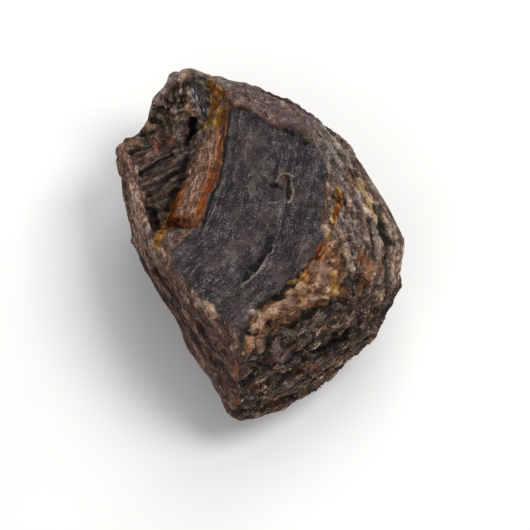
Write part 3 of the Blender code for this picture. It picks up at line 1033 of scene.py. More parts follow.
@dataclass(frozen=True)
class SkinMaterial:
    """The lump's skin: every finish, each laid over the last by its own mark."""

    speck_size: float = 0.19
    mottle_size: float = 1.5
    fibre_sizes: Triple = (0.2, 1.6, 0.7)
    band_sizes: Triple = (0.8, 9.0, 1.6)
    usual_swing: float = 0.07
    thread_sizes: Triple = (0.7, 1.7, 1.0)
    thread_reach: float = 0.022
    strand_sizes: Triple = (0.55, 3.6, 1.4)
    strand_reach: float = 0.02
    crack_sizes: Triple = (1.5, 8.0, 3.0)
    crack_reach: float = 0.03
    glint_size: float = 0.46
    glint_reach: float = 0.27
    glint_core: float = 0.3
    picked: Pair = (0.62, 0.9)
    gathered: Pair = (0.4, 0.58)
    warp_size: float = 1.3
    warp_reach: float = 2.6
    flake_sizes: Triple = (0.75, 2.0, 1.3)
    web_reach: float = 0.085
    bump_distance: float = 0.2
    bump_strength: float = 0.85
    roughness_swing: float = 0.16
    specular: float = 0.25

    def line(self, tree: Tree, vector: Socket, sizes: Triple, reach: float) -> Socket:
        """Thin wandering lines: 1 on a line and 0 away from it.

        Args:
            tree: the material being made.
            vector: the coordinates.
            sizes: how far apart the lines run each way, in mm.
            reach: half their width, as a share of that.

        Returns:
            The lines.
        """
        swirl = tree.cloud(tree.stretch(vector, sizes), 3.0, 0.6)
        gap = tree.math("ABSOLUTE", tree.math("SUBTRACT", swirl, 0.5))
        return tree.rescale(gap, 0.0, reach, 1.0, 0.0)

    def grit(self, tree: Tree, place: Socket, mottle: Socket) -> dict[str, Socket]:
        """Single bright glints and dark pits, gathered where the mottling is light.

        Args:
            tree: the material being made.
            place: coordinates in the object.
            mottle: the mottling.

        Returns:
            The two patterns by name.
        """
        cells = tree.grains(tree.stretch(place, (self.glint_size * MM,) * 3))
        near = tree.rescale(
            cells.outputs["Distance"], self.glint_reach, self.glint_reach * self.glint_core)
        parts = tree.split(cells.outputs["Color"])
        gathered = tree.rescale(mottle, *self.gathered)
        made = {}
        for channel, name in enumerate(("glints", "pits")):
            picked = tree.rescale(parts.outputs[channel], *self.picked)
            made[name] = tree.math(
                "MULTIPLY", tree.math("MULTIPLY", near, picked), gathered)
        return made

    def flakes(self, tree: Tree, grain: Socket) -> dict[str, Socket]:
        """Ragged flakes, light and dark, and the web of seams between them.

        Args:
            tree: the material being made.
            grain: coordinates along the fibres.

        Returns:
            The two patterns by name.
        """
        warped = tree.warp(grain, self.warp_size, self.warp_reach)
        bent = tree.stretch(warped, self.flake_sizes)
        shade = tree.split(tree.grains(bent).outputs["Color"]).outputs[0]
        seams = tree.grains(bent, "DISTANCE_TO_EDGE").outputs["Distance"]
        return {
            "flakes": tree.math("MULTIPLY_ADD", shade, 2.0, -1.0),
            "web": tree.rescale(seams, 0.0, self.web_reach, 1.0, 0.0),
        }

    def textures(self, tree: Tree) -> dict[str, Socket]:
        """The patterns that all finishes share.

        The clouds are centred on 0 and swing about 1 each way. The lines, glints, pits
        and web go from 0 to 1.

        Args:
            tree: the material being made.

        Returns:
            One socket for each pattern.
        """
        place = tree.place()
        grain = tree.attribute("grain", "Vector")
        mottle = tree.cloud(tree.stretch(place, (self.mottle_size * MM,) * 3), 4.0, 0.6)
        specks = tree.cloud(tree.stretch(place, (self.speck_size * MM,) * 3), 2.0, 0.6)
        clouds = {
            "specks": specks,
            "mottle": mottle,
            "fibres": tree.cloud(tree.stretch(grain, self.fibre_sizes), 2.0, 0.6),
            "bands": tree.cloud(tree.stretch(grain, self.band_sizes), 3.0, 0.6),
        }
        made = {
            name: tree.math("DIVIDE", tree.math("SUBTRACT", cloud, 0.5), self.usual_swing)
            for name, cloud in clouds.items()
        }
        # The mesh's painted light on crests and painted shade in hollows.
        made["relief"] = tree.math("SUBTRACT", tree.attribute("relief"), 0.5)
        made["threads"] = self.line(tree, grain, self.thread_sizes, self.thread_reach)
        made["strands"] = self.line(tree, grain, self.strand_sizes, self.strand_reach)
        made["cracks"] = self.line(tree, grain, self.crack_sizes, self.crack_reach)
        return {**made, **self.grit(tree, place, mottle), **self.flakes(tree, grain)}

    def pattern(self, tree: Tree, finish: SkinFinish, textures: dict[str, Socket]) -> Socket:
        """One finish's own sum of the shared patterns, from 0 in hollows to 1 on crests.

        Args:
            tree: the material being made.
            finish: the finish.
            textures: the shared patterns.

        Returns:
            The sum.
        """
        total: object = 0.5
        for name, texture in textures.items():
            weight = getattr(finish, name) * (-1.0 if name in DARKENING else 1.0)
            if weight:
                total = tree.math("MULTIPLY_ADD", texture, weight, total)
        return total

    def make(self) -> bpy.types.Material:
        """Builds the material.

        Returns:
            The finished material.
        """
        tree = Tree("amber_skin")
        textures = self.textures(tree)
        crust, *others = FINISHES
        height = self.pattern(tree, crust, textures)
        colour = tree.tones(height, crust.colours())
        rough: object = crust.roughness
        for finish in others:
            share = tree.attribute(finish.look.value)
            own = self.pattern(tree, finish, textures)
            colour = tree.blend(share, colour, tree.tones(own, finish.colours()))
            height = tree.between(share, height, own)
            rough = tree.between(share, rough, finish.roughness)
        smoothest = tree.math("SUBTRACT", rough, self.roughness_swing / 2.0)
        return tree.finish({
            "Base Color": colour,
            "Roughness": tree.math("MULTIPLY_ADD", height, self.roughness_swing,
                                   smoothest, clamp=True),
            "Specular IOR Level": self.specular,
            "Normal": tree.lift(height, self.bump_strength, self.bump_distance),
        })


@dataclass(frozen=True)
class ResinMaterial:
    """Clear resin: see-through, with its colour taken up in its depth."""

    name: str
    colour: Colour
    density: float
    roughness: float
    gloss: float = 0.05
    gleam: Colour = (255, 214, 160)
    wave_size: float = 1.6
    wave_height: float = 0.08
    unevenness: float = 0.12
    ior: float = 1.54

    def make(self) -> bpy.types.Material:
        """Builds the material.

        Returns:
            The finished material.
        """
        tree = Tree(self.name)
        wave = tree.cloud(tree.stretch(tree.place(), (self.wave_size * MM,) * 3), 2.0, 0.5)
        depth = tree.add("VolumeAbsorption", {
            "Color": tone(*self.colour), "Density": self.density})
        return tree.finish({
            "Base Color": (1.0,) * 4,
            "Transmission Weight": 1.0,
            "IOR": self.ior,
            "Roughness": self.roughness,
            "Specular IOR Level": self.gloss,
            "Specular Tint": tone(*self.gleam),
            "Normal": tree.lift(wave, self.unevenness, self.wave_height),
        }, depth.outputs[0])


@dataclass(frozen=True)
class FloorMaterial:
    """A matt pale floor with a faint unevenness."""

    light: Colour = (250, 249, 247)
    shade: Colour = (245, 244, 242)
    cloud_size_m: float = 0.05
    roughness: float = 0.9

    def make(self) -> bpy.types.Material:
        """Builds the material.

        Returns:
            The finished material.
        """
        tree = Tree("pale_floor")
        soft = tree.cloud(tree.stretch(tree.place(), (self.cloud_size_m,) * 3), 3.0, 0.5)
        stops = [(0.3, tone(*self.shade)), (0.7, tone(*self.light))]
        return tree.finish({
            "Base Color": tree.tones(soft, stops), "Roughness": self.roughness})


# --------------------------------------------------------------- sub-assemblies
OUTLINE_RIGHT = Strand((
    (-3.8, 30.4), (2.5, 28.5), (7.6, 26.1), (11.5, 22.8), (13.9, 19.6), (16.6, 15.3),
    (18.6, 12.1), (21, 8.6), (22.7, 5.1), (22.7, 1.5), (21.8, -2.4), (20.2, -6.7),
    (17.8, -11.1), (13.9, -14.6), (9.6, -18.1), (5.6, -21.3), (1.3, -23.6), (-3.4, -26)))
OUTLINE_LEFT = Strand((
    (-24.3, 19.8), (-23.9, 14.5), (-22.9, 9), (-21.5, 3.5), (-19.5, -1.2), (-16.8, -5.9),
    (-14, -10.7), (-11.9, -15), (-10.1, -19.7), (-7.7, -23.6), (-4.6, -26)))


@dataclass(frozen=True)
class Region:
    """A region of the skin, with its outline, fibres, relief, patches and strokes.

    Edge is how far in from the outline the region starts and is complete, and fade how
    squarely the surface faces the sheet where it does. A region's kinds of relief are
    fields of its own. Paler lightens all of it.
    """

    look: Look
    outline: Outline
    edge: Pair = (-0.4, 0.5)
    fade: Pair = SHOWN
    line: Strand | None = None
    seed: float = 0.0
    paler: float = 0.0
    patches: tuple[Blotches, ...] = ()
    strokes: tuple[Stroke, ...] = ()

    def reliefs(self) -> tuple[Relief, ...]:
        """The region's kinds of relief."""
        return tuple(kind for kind in vars(self).values() if isinstance(kind, Relief))

    def shape(self, surface: FineSurface) -> None:
        """Marks the region, raises its relief and lays its patches and strokes.

        Args:
            surface: the lump's surface.
        """
        share = surface.cover(self.look, self.outline, self.edge, self.fade)
        run = surface.points
        if self.line is not None:
            run = surface.measure(self.line)
            surface.run_along(share, run, self.seed)
        surface.emboss(share, run, self.reliefs(), self.paler)
        surface.scatter(share, self.patches)
        surface.lay(self.strokes)


@dataclass(frozen=True)
class Shoulder(Region):
    """The right shoulder and back, where layers of skin show as lines round the edge."""

    look: Look = Look.SHOULDER
    outline: Outline = Outline((
        (9, 24.3), (7.6, 22), (9.8, 20.6), (11.5, 18.4), (12, 15.7), (11.5, 12.9),
        (10.5, 9.8), (9.8, 6.6), (9.5, 4), (12.6, 3.4), (13.4, 0.6), (13.1, -2.6),
        (15.9, -0.8), (18.2, -2.8), (20.6, -3.6), (24.5, -2.4), (25.5, 6), (20, 15),
        (14, 23), (10, 26.5)))
    edge: Pair = (-0.6, 0.8)
    line: Strand = OUTLINE_RIGHT
    seed: float = 40.0
    paler: float = 0.32
    layers: Relief = Relief(Pattern.SWELL, 0.3, 0.75, 1.0, 3, 5.0, (0.85, 7.0, 4.0))
    lumps: Relief = Relief(Pattern.SWELL, 0.2, 0.75, 1.0, 4, 9.0, (1.0, 2.4, 1.6))
    pebbles: Relief = Relief(Pattern.CRAG, 0.08, 0.25, 1.0, 1, 4.0, (1.0, 2.0, 1.0 / 0.7))
    crevices: Relief = Relief(Pattern.CREVICE, 0.35, 0.9, 1.7, 3, 7.0, (1.0, 4.0, 2.5))
    patches: tuple[Blotches, ...] = (
        Blotches(Look.GREY, 2.6, 0.4, 121),
        Blotches(Look.TAN, 1.9, 0.5, 122, (0.2, 0.55)),
        Blotches(Look.STAIN, 2.8, 0.45, 123),
        Blotches(Look.OLIVE, 2.2, 0.4, 124, (0.2, 0.55)),
    )
    # The sunk dark and green-black strokes paint shade into crevices and gaps.
    strokes: tuple[Stroke, ...] = draw(
        (2.33, 0, Look.GREY, 0.75, 1, (9.5, 22.8), (10.8, 20), (12, 16.7), (12.8, 13.3)),
        (1, 0.1, (13.3, 18.3), (14.5, 15.8), (15.8, 13.3)),
        (0.5, -0.35, Look.DARK, 0.7, (14.5, 17), (15.5, 15)),
        (0.53, -0.45, Look.DARK, 0.8, (15.7, 13.5), (16.5, 12.2)),
        (0.67, 0.1, Look.YELLOW, 0.7, (12, 13.5), (12.3, 12.3)),
        (1.67, 0.25, Look.GREY, 0.4, 1, (14.2, 11.5), (15.5, 9.8)),
        (0.57, 0.35, Look.YELLOW, 0.75, 0.7, (15.5, 13.8), (16.8, 11.5), (17.7, 9.2),
         (18.2, 7.5)),
        (0.4, 0.35, Look.PALE, 0.5, 0.7, (18.3, 7.2), (18.5, 5.5), (19.2, 3.8)),
        (1, -0.7, Look.GREEN_BLACK, 1, 0.7, (18.7, 9.5), (19.2, 7.2), (19.8, 5.2),
         (20.8, 3.8)), (0.3, -0.35, Look.DARK, 0.6, (14.5, 9.7), (14.5, 6.5)),
        (0.83, -0.2, Look.BLUEGREY, 0.5, 0.8, (14.8, 6.2), (15.2, 4.8)),
        (1, 0.15, Look.OLIVE, 0.75, 0.8, (15.5, 4.2), (16.3, 3.8)),
        (0.6, 0.2, Look.PALE, 0.55, (11.3, 6.3), (11.5, 4.5)),
        (0.75, 0.2, Look.TAN, 0.75, (10, 6), (10.5, 5.3)),
        (1.5, 0.1, Look.RUST, 0.75, 1, (16.3, 1.2), (17.5, -0.2), (16.8, -2.8),
         (15.5, -4.2)), (0.53, -0.45, Look.DARK, 0.75, (12.8, 1.5), (13.3, 0.2)),
        (0.4, -0.35, Look.STAIN, 0.6, 0.8, (12.7, 0.5), (12.7, -2.2)),
        (0.83, -0.35, Look.GREEN_BLACK, 0.7, 0.9, (20.2, 1.2), (20.5, -1.7), (20, -4.5)),
        (0.4, -0.3, Look.DARK, 0.8, (12.3, 3.7), (12.5, 3)),
        (0.4, -0.3, Look.DARK, 0.5, (14, -0.8), (14.5, -2.5)),
        (1, 0, Look.ORANGE_SKIN, 0.5, 1, (16.8, 0.5), (17.8, -1.2), (17.2, -3.2)),
        (1.5, 0.15, Look.GREY, 0.45, 1, (13.3, 8.5), (13.8, 6.2), (14.5, 3.2)),
        (0.5, 0.3, Look.CREAM, 0.5, 0.9, (16.2, 9.8), (16.8, 7.2), (17.2, 4.2)),
        (0.33, -0.35, Look.DARK, 0.6, 0.8, (13, 10.8), (13.7, 8.5)),
        (0.37, -0.4, Look.DARK, 0.7, 0.8, (17.7, 6.5), (18.2, 3.5), (17.8, 1.2)),
        (0.3, -0.35, Look.DARK, 0.6, 0.8, (14.5, 2.5), (15.2, -0.2)),
        (0.27, 0.25, Look.CREAM, 0.5, 0.8, (19.8, 8.5), (20.8, 6.5), (22, 4.5)),
        (0.27, 0.2, Look.CREAM, 0.4, 0.8, (21.2, 3.2), (21.5, 0.5), (21, -2.5)),
        (2.5, 0, Look.LINED_SLATE, 0.6, 1, (7.8, 23.2), (10.5, 19.8), (12.5, 16.5)),
        (1, -0.2, Look.GREEN_BLACK, 0.45, 1, (13.2, 19.2), (14.5, 16.8), (15.2, 14.8)),
        (0.27, 0.15, Look.PALE, 0.5, 0.9, (8.8, 24.5), (10.8, 21.8), (13.5, 18.5),
         (14.8, 16.2)),
        (0.22, 0.15, Look.PALE, 0.4, 0.9, (10.2, 20.8), (11.8, 17.8), (13.5, 14.8)),
        (0.22, 0.1, Look.PALE, 0.4, 0.9, (8.2, 20.8), (9.5, 18.2), (11.5, 15.5)),
        (0.67, 0.3, Look.CREAM, 0.8, 0.8, (9.7, 6.5), (10.5, 6)),
        (0.5, 0.1, Look.YELLOW, 0.7, 0.8, (10.3, 5.2), (10.7, 4)),
        (0.67, 0.3, Look.CREAM, 0.6, 0.8, (12.7, 12.8), (13.5, 11.8), (14, 10.8)),
        (0.57, 0.15, Look.YELLOW, 0.7, 0.8, (15.7, 14.2), (16.7, 12.5), (17.3, 10.8),
         (18, 8.5)),
        (1.17, 0.2, Look.GREY, 0.6, 0.9, (12.8, 7.2), (14.5, 6.2), (14.8, 4.2)),
        (1, 0.1, Look.TAN, 0.35, 1, (11.8, 4.2), (13.2, 2.2), (14.2, 0.5)),
    )


@dataclass(frozen=True)
class Bevel(Region):
    """The rough pinkish strip along the top edge, which runs on over the back edge."""

    look: Look = Look.BEVEL
    outline: Outline = Outline((
        (-7, 31), (-3.8, 31.6), (-0.7, 30.6), (4.3, 29.4), (9, 27.6), (11, 24.8),
        (8.6, 22.6), (5.6, 22.6), (3.3, 23.4), (0.1, 24.7), (-2.2, 25.7), (-4.6, 26.5),
        (-6, 26.9), (-6.6, 28.7)))
    edge: Pair = (-0.4, 0.6)
    fade: Pair = (-0.3, 0.0)
    lumps: Relief = Relief(Pattern.SWELL, 0.34, 1.3, 1.1, 4, 21.0)
    patches: tuple[Blotches, ...] = (
        Blotches(Look.MAUVE, 2.4, 0.4, 141),
        Blotches(Look.GREY, 1.8, 0.35, 142),
    )
    # The dark stroke paints shade into a fine fracture near the top edge.
    strokes: tuple[Stroke, ...] = draw(
        (1.67, 0.1, Look.MAUVE, 0.9, 0.9, (1.7, 26.2), (3.5, 25), (5.5, 23.8)),
        (1, 0.1, Look.MAUVE, 0.5, 0.9, (5.8, 24.2), (7.2, 22.5)),
        (0.27, -0.3, Look.DARK, 0.6, (-0.5, 29.2), (1.7, 28.2), (4.2, 27), (6.8, 25.5),
         (9.5, 23.8), (11.8, 21.8)),
        (1, 0, Look.OLIVE, 0.45, 0.9, (-5.5, 29.5), (-4.8, 27.8)),
    )


@dataclass(frozen=True)
class RoughFront(Region):
    """The craggy dark front, full of pits and cracks."""

    look: Look = Look.ROUGH
    outline: Outline = Outline((
        (-4.4, -14), (-2.2, -12.8), (-0.3, -11.1), (2.1, -9.7), (4.4, -8.3), (7.2, -6.9),
        (10, -5.7), (12.1, -4.6), (13.9, -1.6), (15.9, -1.6), (18.2, -3.2), (20.6, -4.2),
        (24.5, -3.4), (25, -9), (20.6, -14.8), (16.6, -18.8), (11.9, -23.1), (7.2, -26.9),
        (1.7, -28.8), (-3.8, -29.2), (-5.4, -24.8), (-3.8, -20.5), (-4, -17)))
    edge: Pair = (-0.5, 0.6)
    fade: Pair = (-0.25, 0.05)
    line: Strand = OUTLINE_RIGHT
    seed: float = 90.0
    paler: float = -0.05
    crags: Relief = Relief(
        Pattern.CRAG, 0.42, 0.4, 2.3, 1, 2.0, (1.0, 1.0 / 0.45, 1.0 / 0.7))
    pebbles: Relief = Relief(
        Pattern.CRAG, 0.08, 0.2, 0.95, 1, 8.0, (1.0, 1.0 / 0.45, 1.0 / 0.7))
    lumps: Relief = Relief(Pattern.SWELL, 0.36, 0.75, 0.85, 4, 33.0, (1.0, 2.2, 1.6))
    crevices: Relief = Relief(Pattern.CREVICE, 0.5, 1.0, 2.0, 2, 18.0, (1.0, 4.5, 2.6))
    patches: tuple[Blotches, ...] = (
        Blotches(Look.GREY, 2.2, 0.35, 131),
        Blotches(Look.OLIVE, 1.8, 0.6, 132, (0.05, 0.4)),
        Blotches(Look.STAIN, 2.4, 0.35, 133, (0.2, 0.5)),
        Blotches(Look.MAUVE, 2, 0.45, 134, (0.15, 0.5)),
        Blotches(Look.GREEN_BLACK, 2.6, 0.5, 135, (0.25, 0.6)),
    )
    # The sunk dark and green-black strokes paint shade into cracks, hollows and under
    # ledges.
    strokes: tuple[Stroke, ...] = draw(
        (0.37, 0.3, (5.5, -9.5), (7.2, -8.3)),
        (1.33, 0.3, Look.MAUVE, 0.8, 0.9, 0.9, (1.5, -13.5), (2.7, -15.2)),
        (0.33, -0.5, Look.DARK, 0.8, 0.8, (0.8, -11.8), (0.2, -14.5), (0.5, -16.2)),
        (1.17, 0.3, Look.OLIVE, 0.6, 0.9, 0.7, (3.5, -10.8), (4.8, -12.2), (5.7, -13.5)),
        (0.3, -0.4, Look.DARK, 0.75, 0.8, (-0.5, -15.2), (0.8, -13.2), (1.8, -11.8)),
        (0.3, -0.4, Look.DARK, 0.75, 0.8, (2.5, -15.2), (3.7, -13.8), (5.2, -12.8)),
        (0.53, -0.8, Look.GREEN_BLACK, 1, (8.5, -14.5), (10.5, -13.5), (13.3, -12.3)),
        (0.5, 0.35, (6.2, -13.3), (7.5, -14.2), (8.8, -12.8)),
        (0.67, -0.6, Look.DARK, 0.75, 0.8, (5.8, -15.2), (7.5, -15.5)),
        (0.83, -0.7, Look.DARK, 0.85, 0.7, (-1.2, -17), (0.8, -17.3)),
        (1, -0.8, Look.DARK, 0.85, 0.8, (-3.8, -19.8), (-2.5, -19.8)),
        (0.5, 0.3, Look.RIM, 0.4, 0.8, (4.2, -17.8), (5.8, -18.8)),
        (0.5, 0.2, Look.RIM, 0.6, 0.8, (6, -18.3), (6.8, -17.8)),
        (0.83, 0.1, Look.RUST, 0.8, 0.8, (-4.8, -16.8), (-4.8, -18.5)),
        (0.75, 0.1, Look.RUST, 0.75, 0.8, (-4.8, -22.5), (-4.3, -23.5)),
        (0.67, 0.1, Look.RUST, 0.6, 0.8, (-1.8, -20.7), (-0.8, -21)),
        (0.83, 0.1, Look.RUST, 0.5, 0.8, (7.8, -16.8), (8.8, -17.2)),
        (0.5, 0.2, Look.RIM, 0.6, 0.8, (9.5, -20.5), (7.5, -21.5), (5.5, -22.3)),
        (0.4, 0.2, Look.RIM, 0.4, 0.8, (13.3, -15.3), (11.2, -17.8), (9.8, -19.8)),
        (0.5, 0.2, Look.RIM, 0.5, 0.8, (19.8, -8.8), (18.8, -10.8), (17.2, -13.2)),
        (0.67, -0.5, Look.DARK, 0.6, 0.8, (3, -22.5), (4.5, -22.2)),
        (0.67, 0.3, Look.RIM, 0.35, 0.8, (14.5, -8.8), (13.5, -10.5)),
        (0.5, -0.5, Look.DARK, 0.6, 0.8, (12.5, -7.8), (14.5, -7.2)),
        (0.83, 0.35, Look.GREY, 0.5, 0.9, (17.2, -4.5), (17.8, -5.8)),
        (0.43, -0.5, Look.DARK, 0.7, 0.8, (16.2, -5.2), (16.5, -6.5)),
        (3.67, 0, Look.RIM, 0.4, 1, (14.5, -5.8), (17.2, -7.2), (19.2, -5.8)),
        (2, 0, Look.RIM, 0.3, 1, (10.8, -9.5), (13.8, -8.5)),
        (0.33, -0.45, Look.DARK, 0.8, 0.8, (9.2, -11.8), (5.8, -14.5), (3.5, -16.5)),
        (0.33, -0.45, Look.DARK, 0.7, 0.8, (14.5, -10.5), (11.2, -13.5), (8.5, -15.8)),
        (0.3, -0.4, Look.DARK, 0.6, 0.8, (5.8, -16.8), (2.5, -19.8), (-0.5, -22.2)),
        (0.23, 0.25, Look.RIM, 0.6, 0.8, (12.5, -14.5), (9.5, -17.8), (6.5, -20.5)),
        (0.23, 0.25, Look.RIM, 0.5, 0.8, (1.8, -17.2), (-0.2, -19.5), (-2.5, -21.8)),
        (1.17, 0.1, Look.GREY, 0.4, 1, (5.8, -10.8), (7.8, -10.2), (9.5, -8.8)),
    )


@dataclass(frozen=True)
class Flank(Region):
    """The narrow left flank, lined along its length, and the paler rim above it."""

    look: Look = Look.FLANK
    outline: Outline = Outline((
        (-17, 0), (-15.5, -1.8), (-13.8, -3.8), (-10.7, -6.5), (-8.5, -8.6), (-6, -11.5),
        (-4.3, -14), (-3.8, -17), (-3.8, -20.9), (-5, -24.8), (-5.8, -29.2), (-10.3, -28.4),
        (-15.9, -15.6), (-21.8, -4.6), (-24.6, 4.3), (-19.9, 2.7), (-18.2, 1.1)))
    rim: Outline = Outline((
        (-26.7, 19.6), (-23.5, 20.9), (-22.1, 18.6), (-21.3, 17.3), (-21.1, 15.3),
        (-20.5, 12.9), (-19.9, 10.6), (-19.5, 7.4), (-18.6, 4.9), (-17.4, 3.1),
        (-16.4, 1.5), (-17, 0), (-18.2, 0.3), (-23.6, 1.1), (-25.5, 9.8), (-27, 15.3)))
    edge: Pair = (-0.4, 0.6)
    rim_edge: Pair = (-0.4, 0.5)
    fade: Pair = (-0.3, 0.0)
    line: Strand = OUTLINE_LEFT
    seed: float = 140.0
    lines: Relief = Relief(Pattern.SWELL, 0.26, 1.0, 1.0, 3, 12.0, (0.7, 6.0, 5.0))
    lumps: Relief = Relief(Pattern.SWELL, 0.14, 0.8, 1.4, 3, 15.0)
    rim_reliefs: tuple[Relief, ...] = (
        Relief(Pattern.SWELL, 0.13, 0.7, 1.0, 3, 12.0, (0.7, 6.0, 5.0)),
        Relief(Pattern.SWELL, 0.14, 0.9, 1.4, 3, 15.0),
    )
    patches: tuple[Blotches, ...] = (
        Blotches(Look.STAIN, 4, 0.45, 161),
        Blotches(Look.MAUVE, 3, 0.4, 162),
        Blotches(Look.RIM, 2.6, 0.3, 163, (0.2, 0.55)),
    )
    # The dark strokes paint shade into the flank's grooves, and the wide one paints its
    # lower part darker as painted shade.
    strokes: tuple[Stroke, ...] = draw(
        (1, 0.25, (-22.8, 17.5), (-22, 13.3), (-21, 9.2), (-19.8, 5.5)),
        (1.17, 0.1, Look.RIM, 0.9, 0.9, (-20.7, 9.2), (-19.8, 7.2)),
        (1, 0.1, Look.RIM, 0.6, 1, (-21.3, 17), (-20.5, 13.5), (-19.7, 10.5)),
        (1.33, 0, Look.RIM, 0.45, 1, (-15.8, 0.5), (-13.2, -3.8), (-10.2, -6.8),
         (-7.5, -10.2), (-5.7, -13.3)),
        (0.5, 0.2, Look.PALE, 0.4, 0.8, (-18.8, 2.2), (-17.8, 0.5)),
        (0.33, 0.25, Look.RIM, 0.5, 0.8, (-20.3, 1.7), (-17.8, -2.5), (-14.8, -6.7)),
        (0.27, -0.3, Look.DARK, 0.6, 0.8, (-19.8, 2.2), (-17.2, -2.5), (-13.8, -7.2)),
        (0.3, -0.25, Look.DARK, 0.5, 0.8, (-14.2, -8.5), (-12.2, -11.5), (-10.2, -15.2)),
        (0.3, -0.25, Look.DARK, 0.5, 0.8, (-15.5, -5.8), (-12.8, -9.5), (-10.8, -13.3)),
        (1.17, 0, Look.DARK, 0.35, 1, (-9.5, -12.5), (-8.2, -15.8), (-6.5, -19.5)),
        (1, -0.1, Look.BLUEGREY, 0.55, 0.9, (-7.2, -20.5), (-6.2, -22.8)),
        (0.67, 0.1, Look.STAIN, 0.45, 0.9, (-5.8, -14.5), (-5.2, -17.8)),
    )

    def shape(self, surface: FineSurface) -> None:
        """Raises the lines along the flank and the grain of the rim.

        Args:
            surface: the lump's surface.
        """
        flank = surface.cover(self.look, self.outline, self.edge, self.fade)
        rim = surface.cover(Look.RIM, self.rim, self.rim_edge, self.fade)
        run = surface.measure(self.line)
        surface.run_along(np.maximum(flank, rim), run, self.seed)
        surface.emboss(flank, run, self.reliefs())
        surface.emboss(rim, run, self.rim_reliefs)
        surface.scatter(flank, self.patches)
        surface.lay(self.strokes)


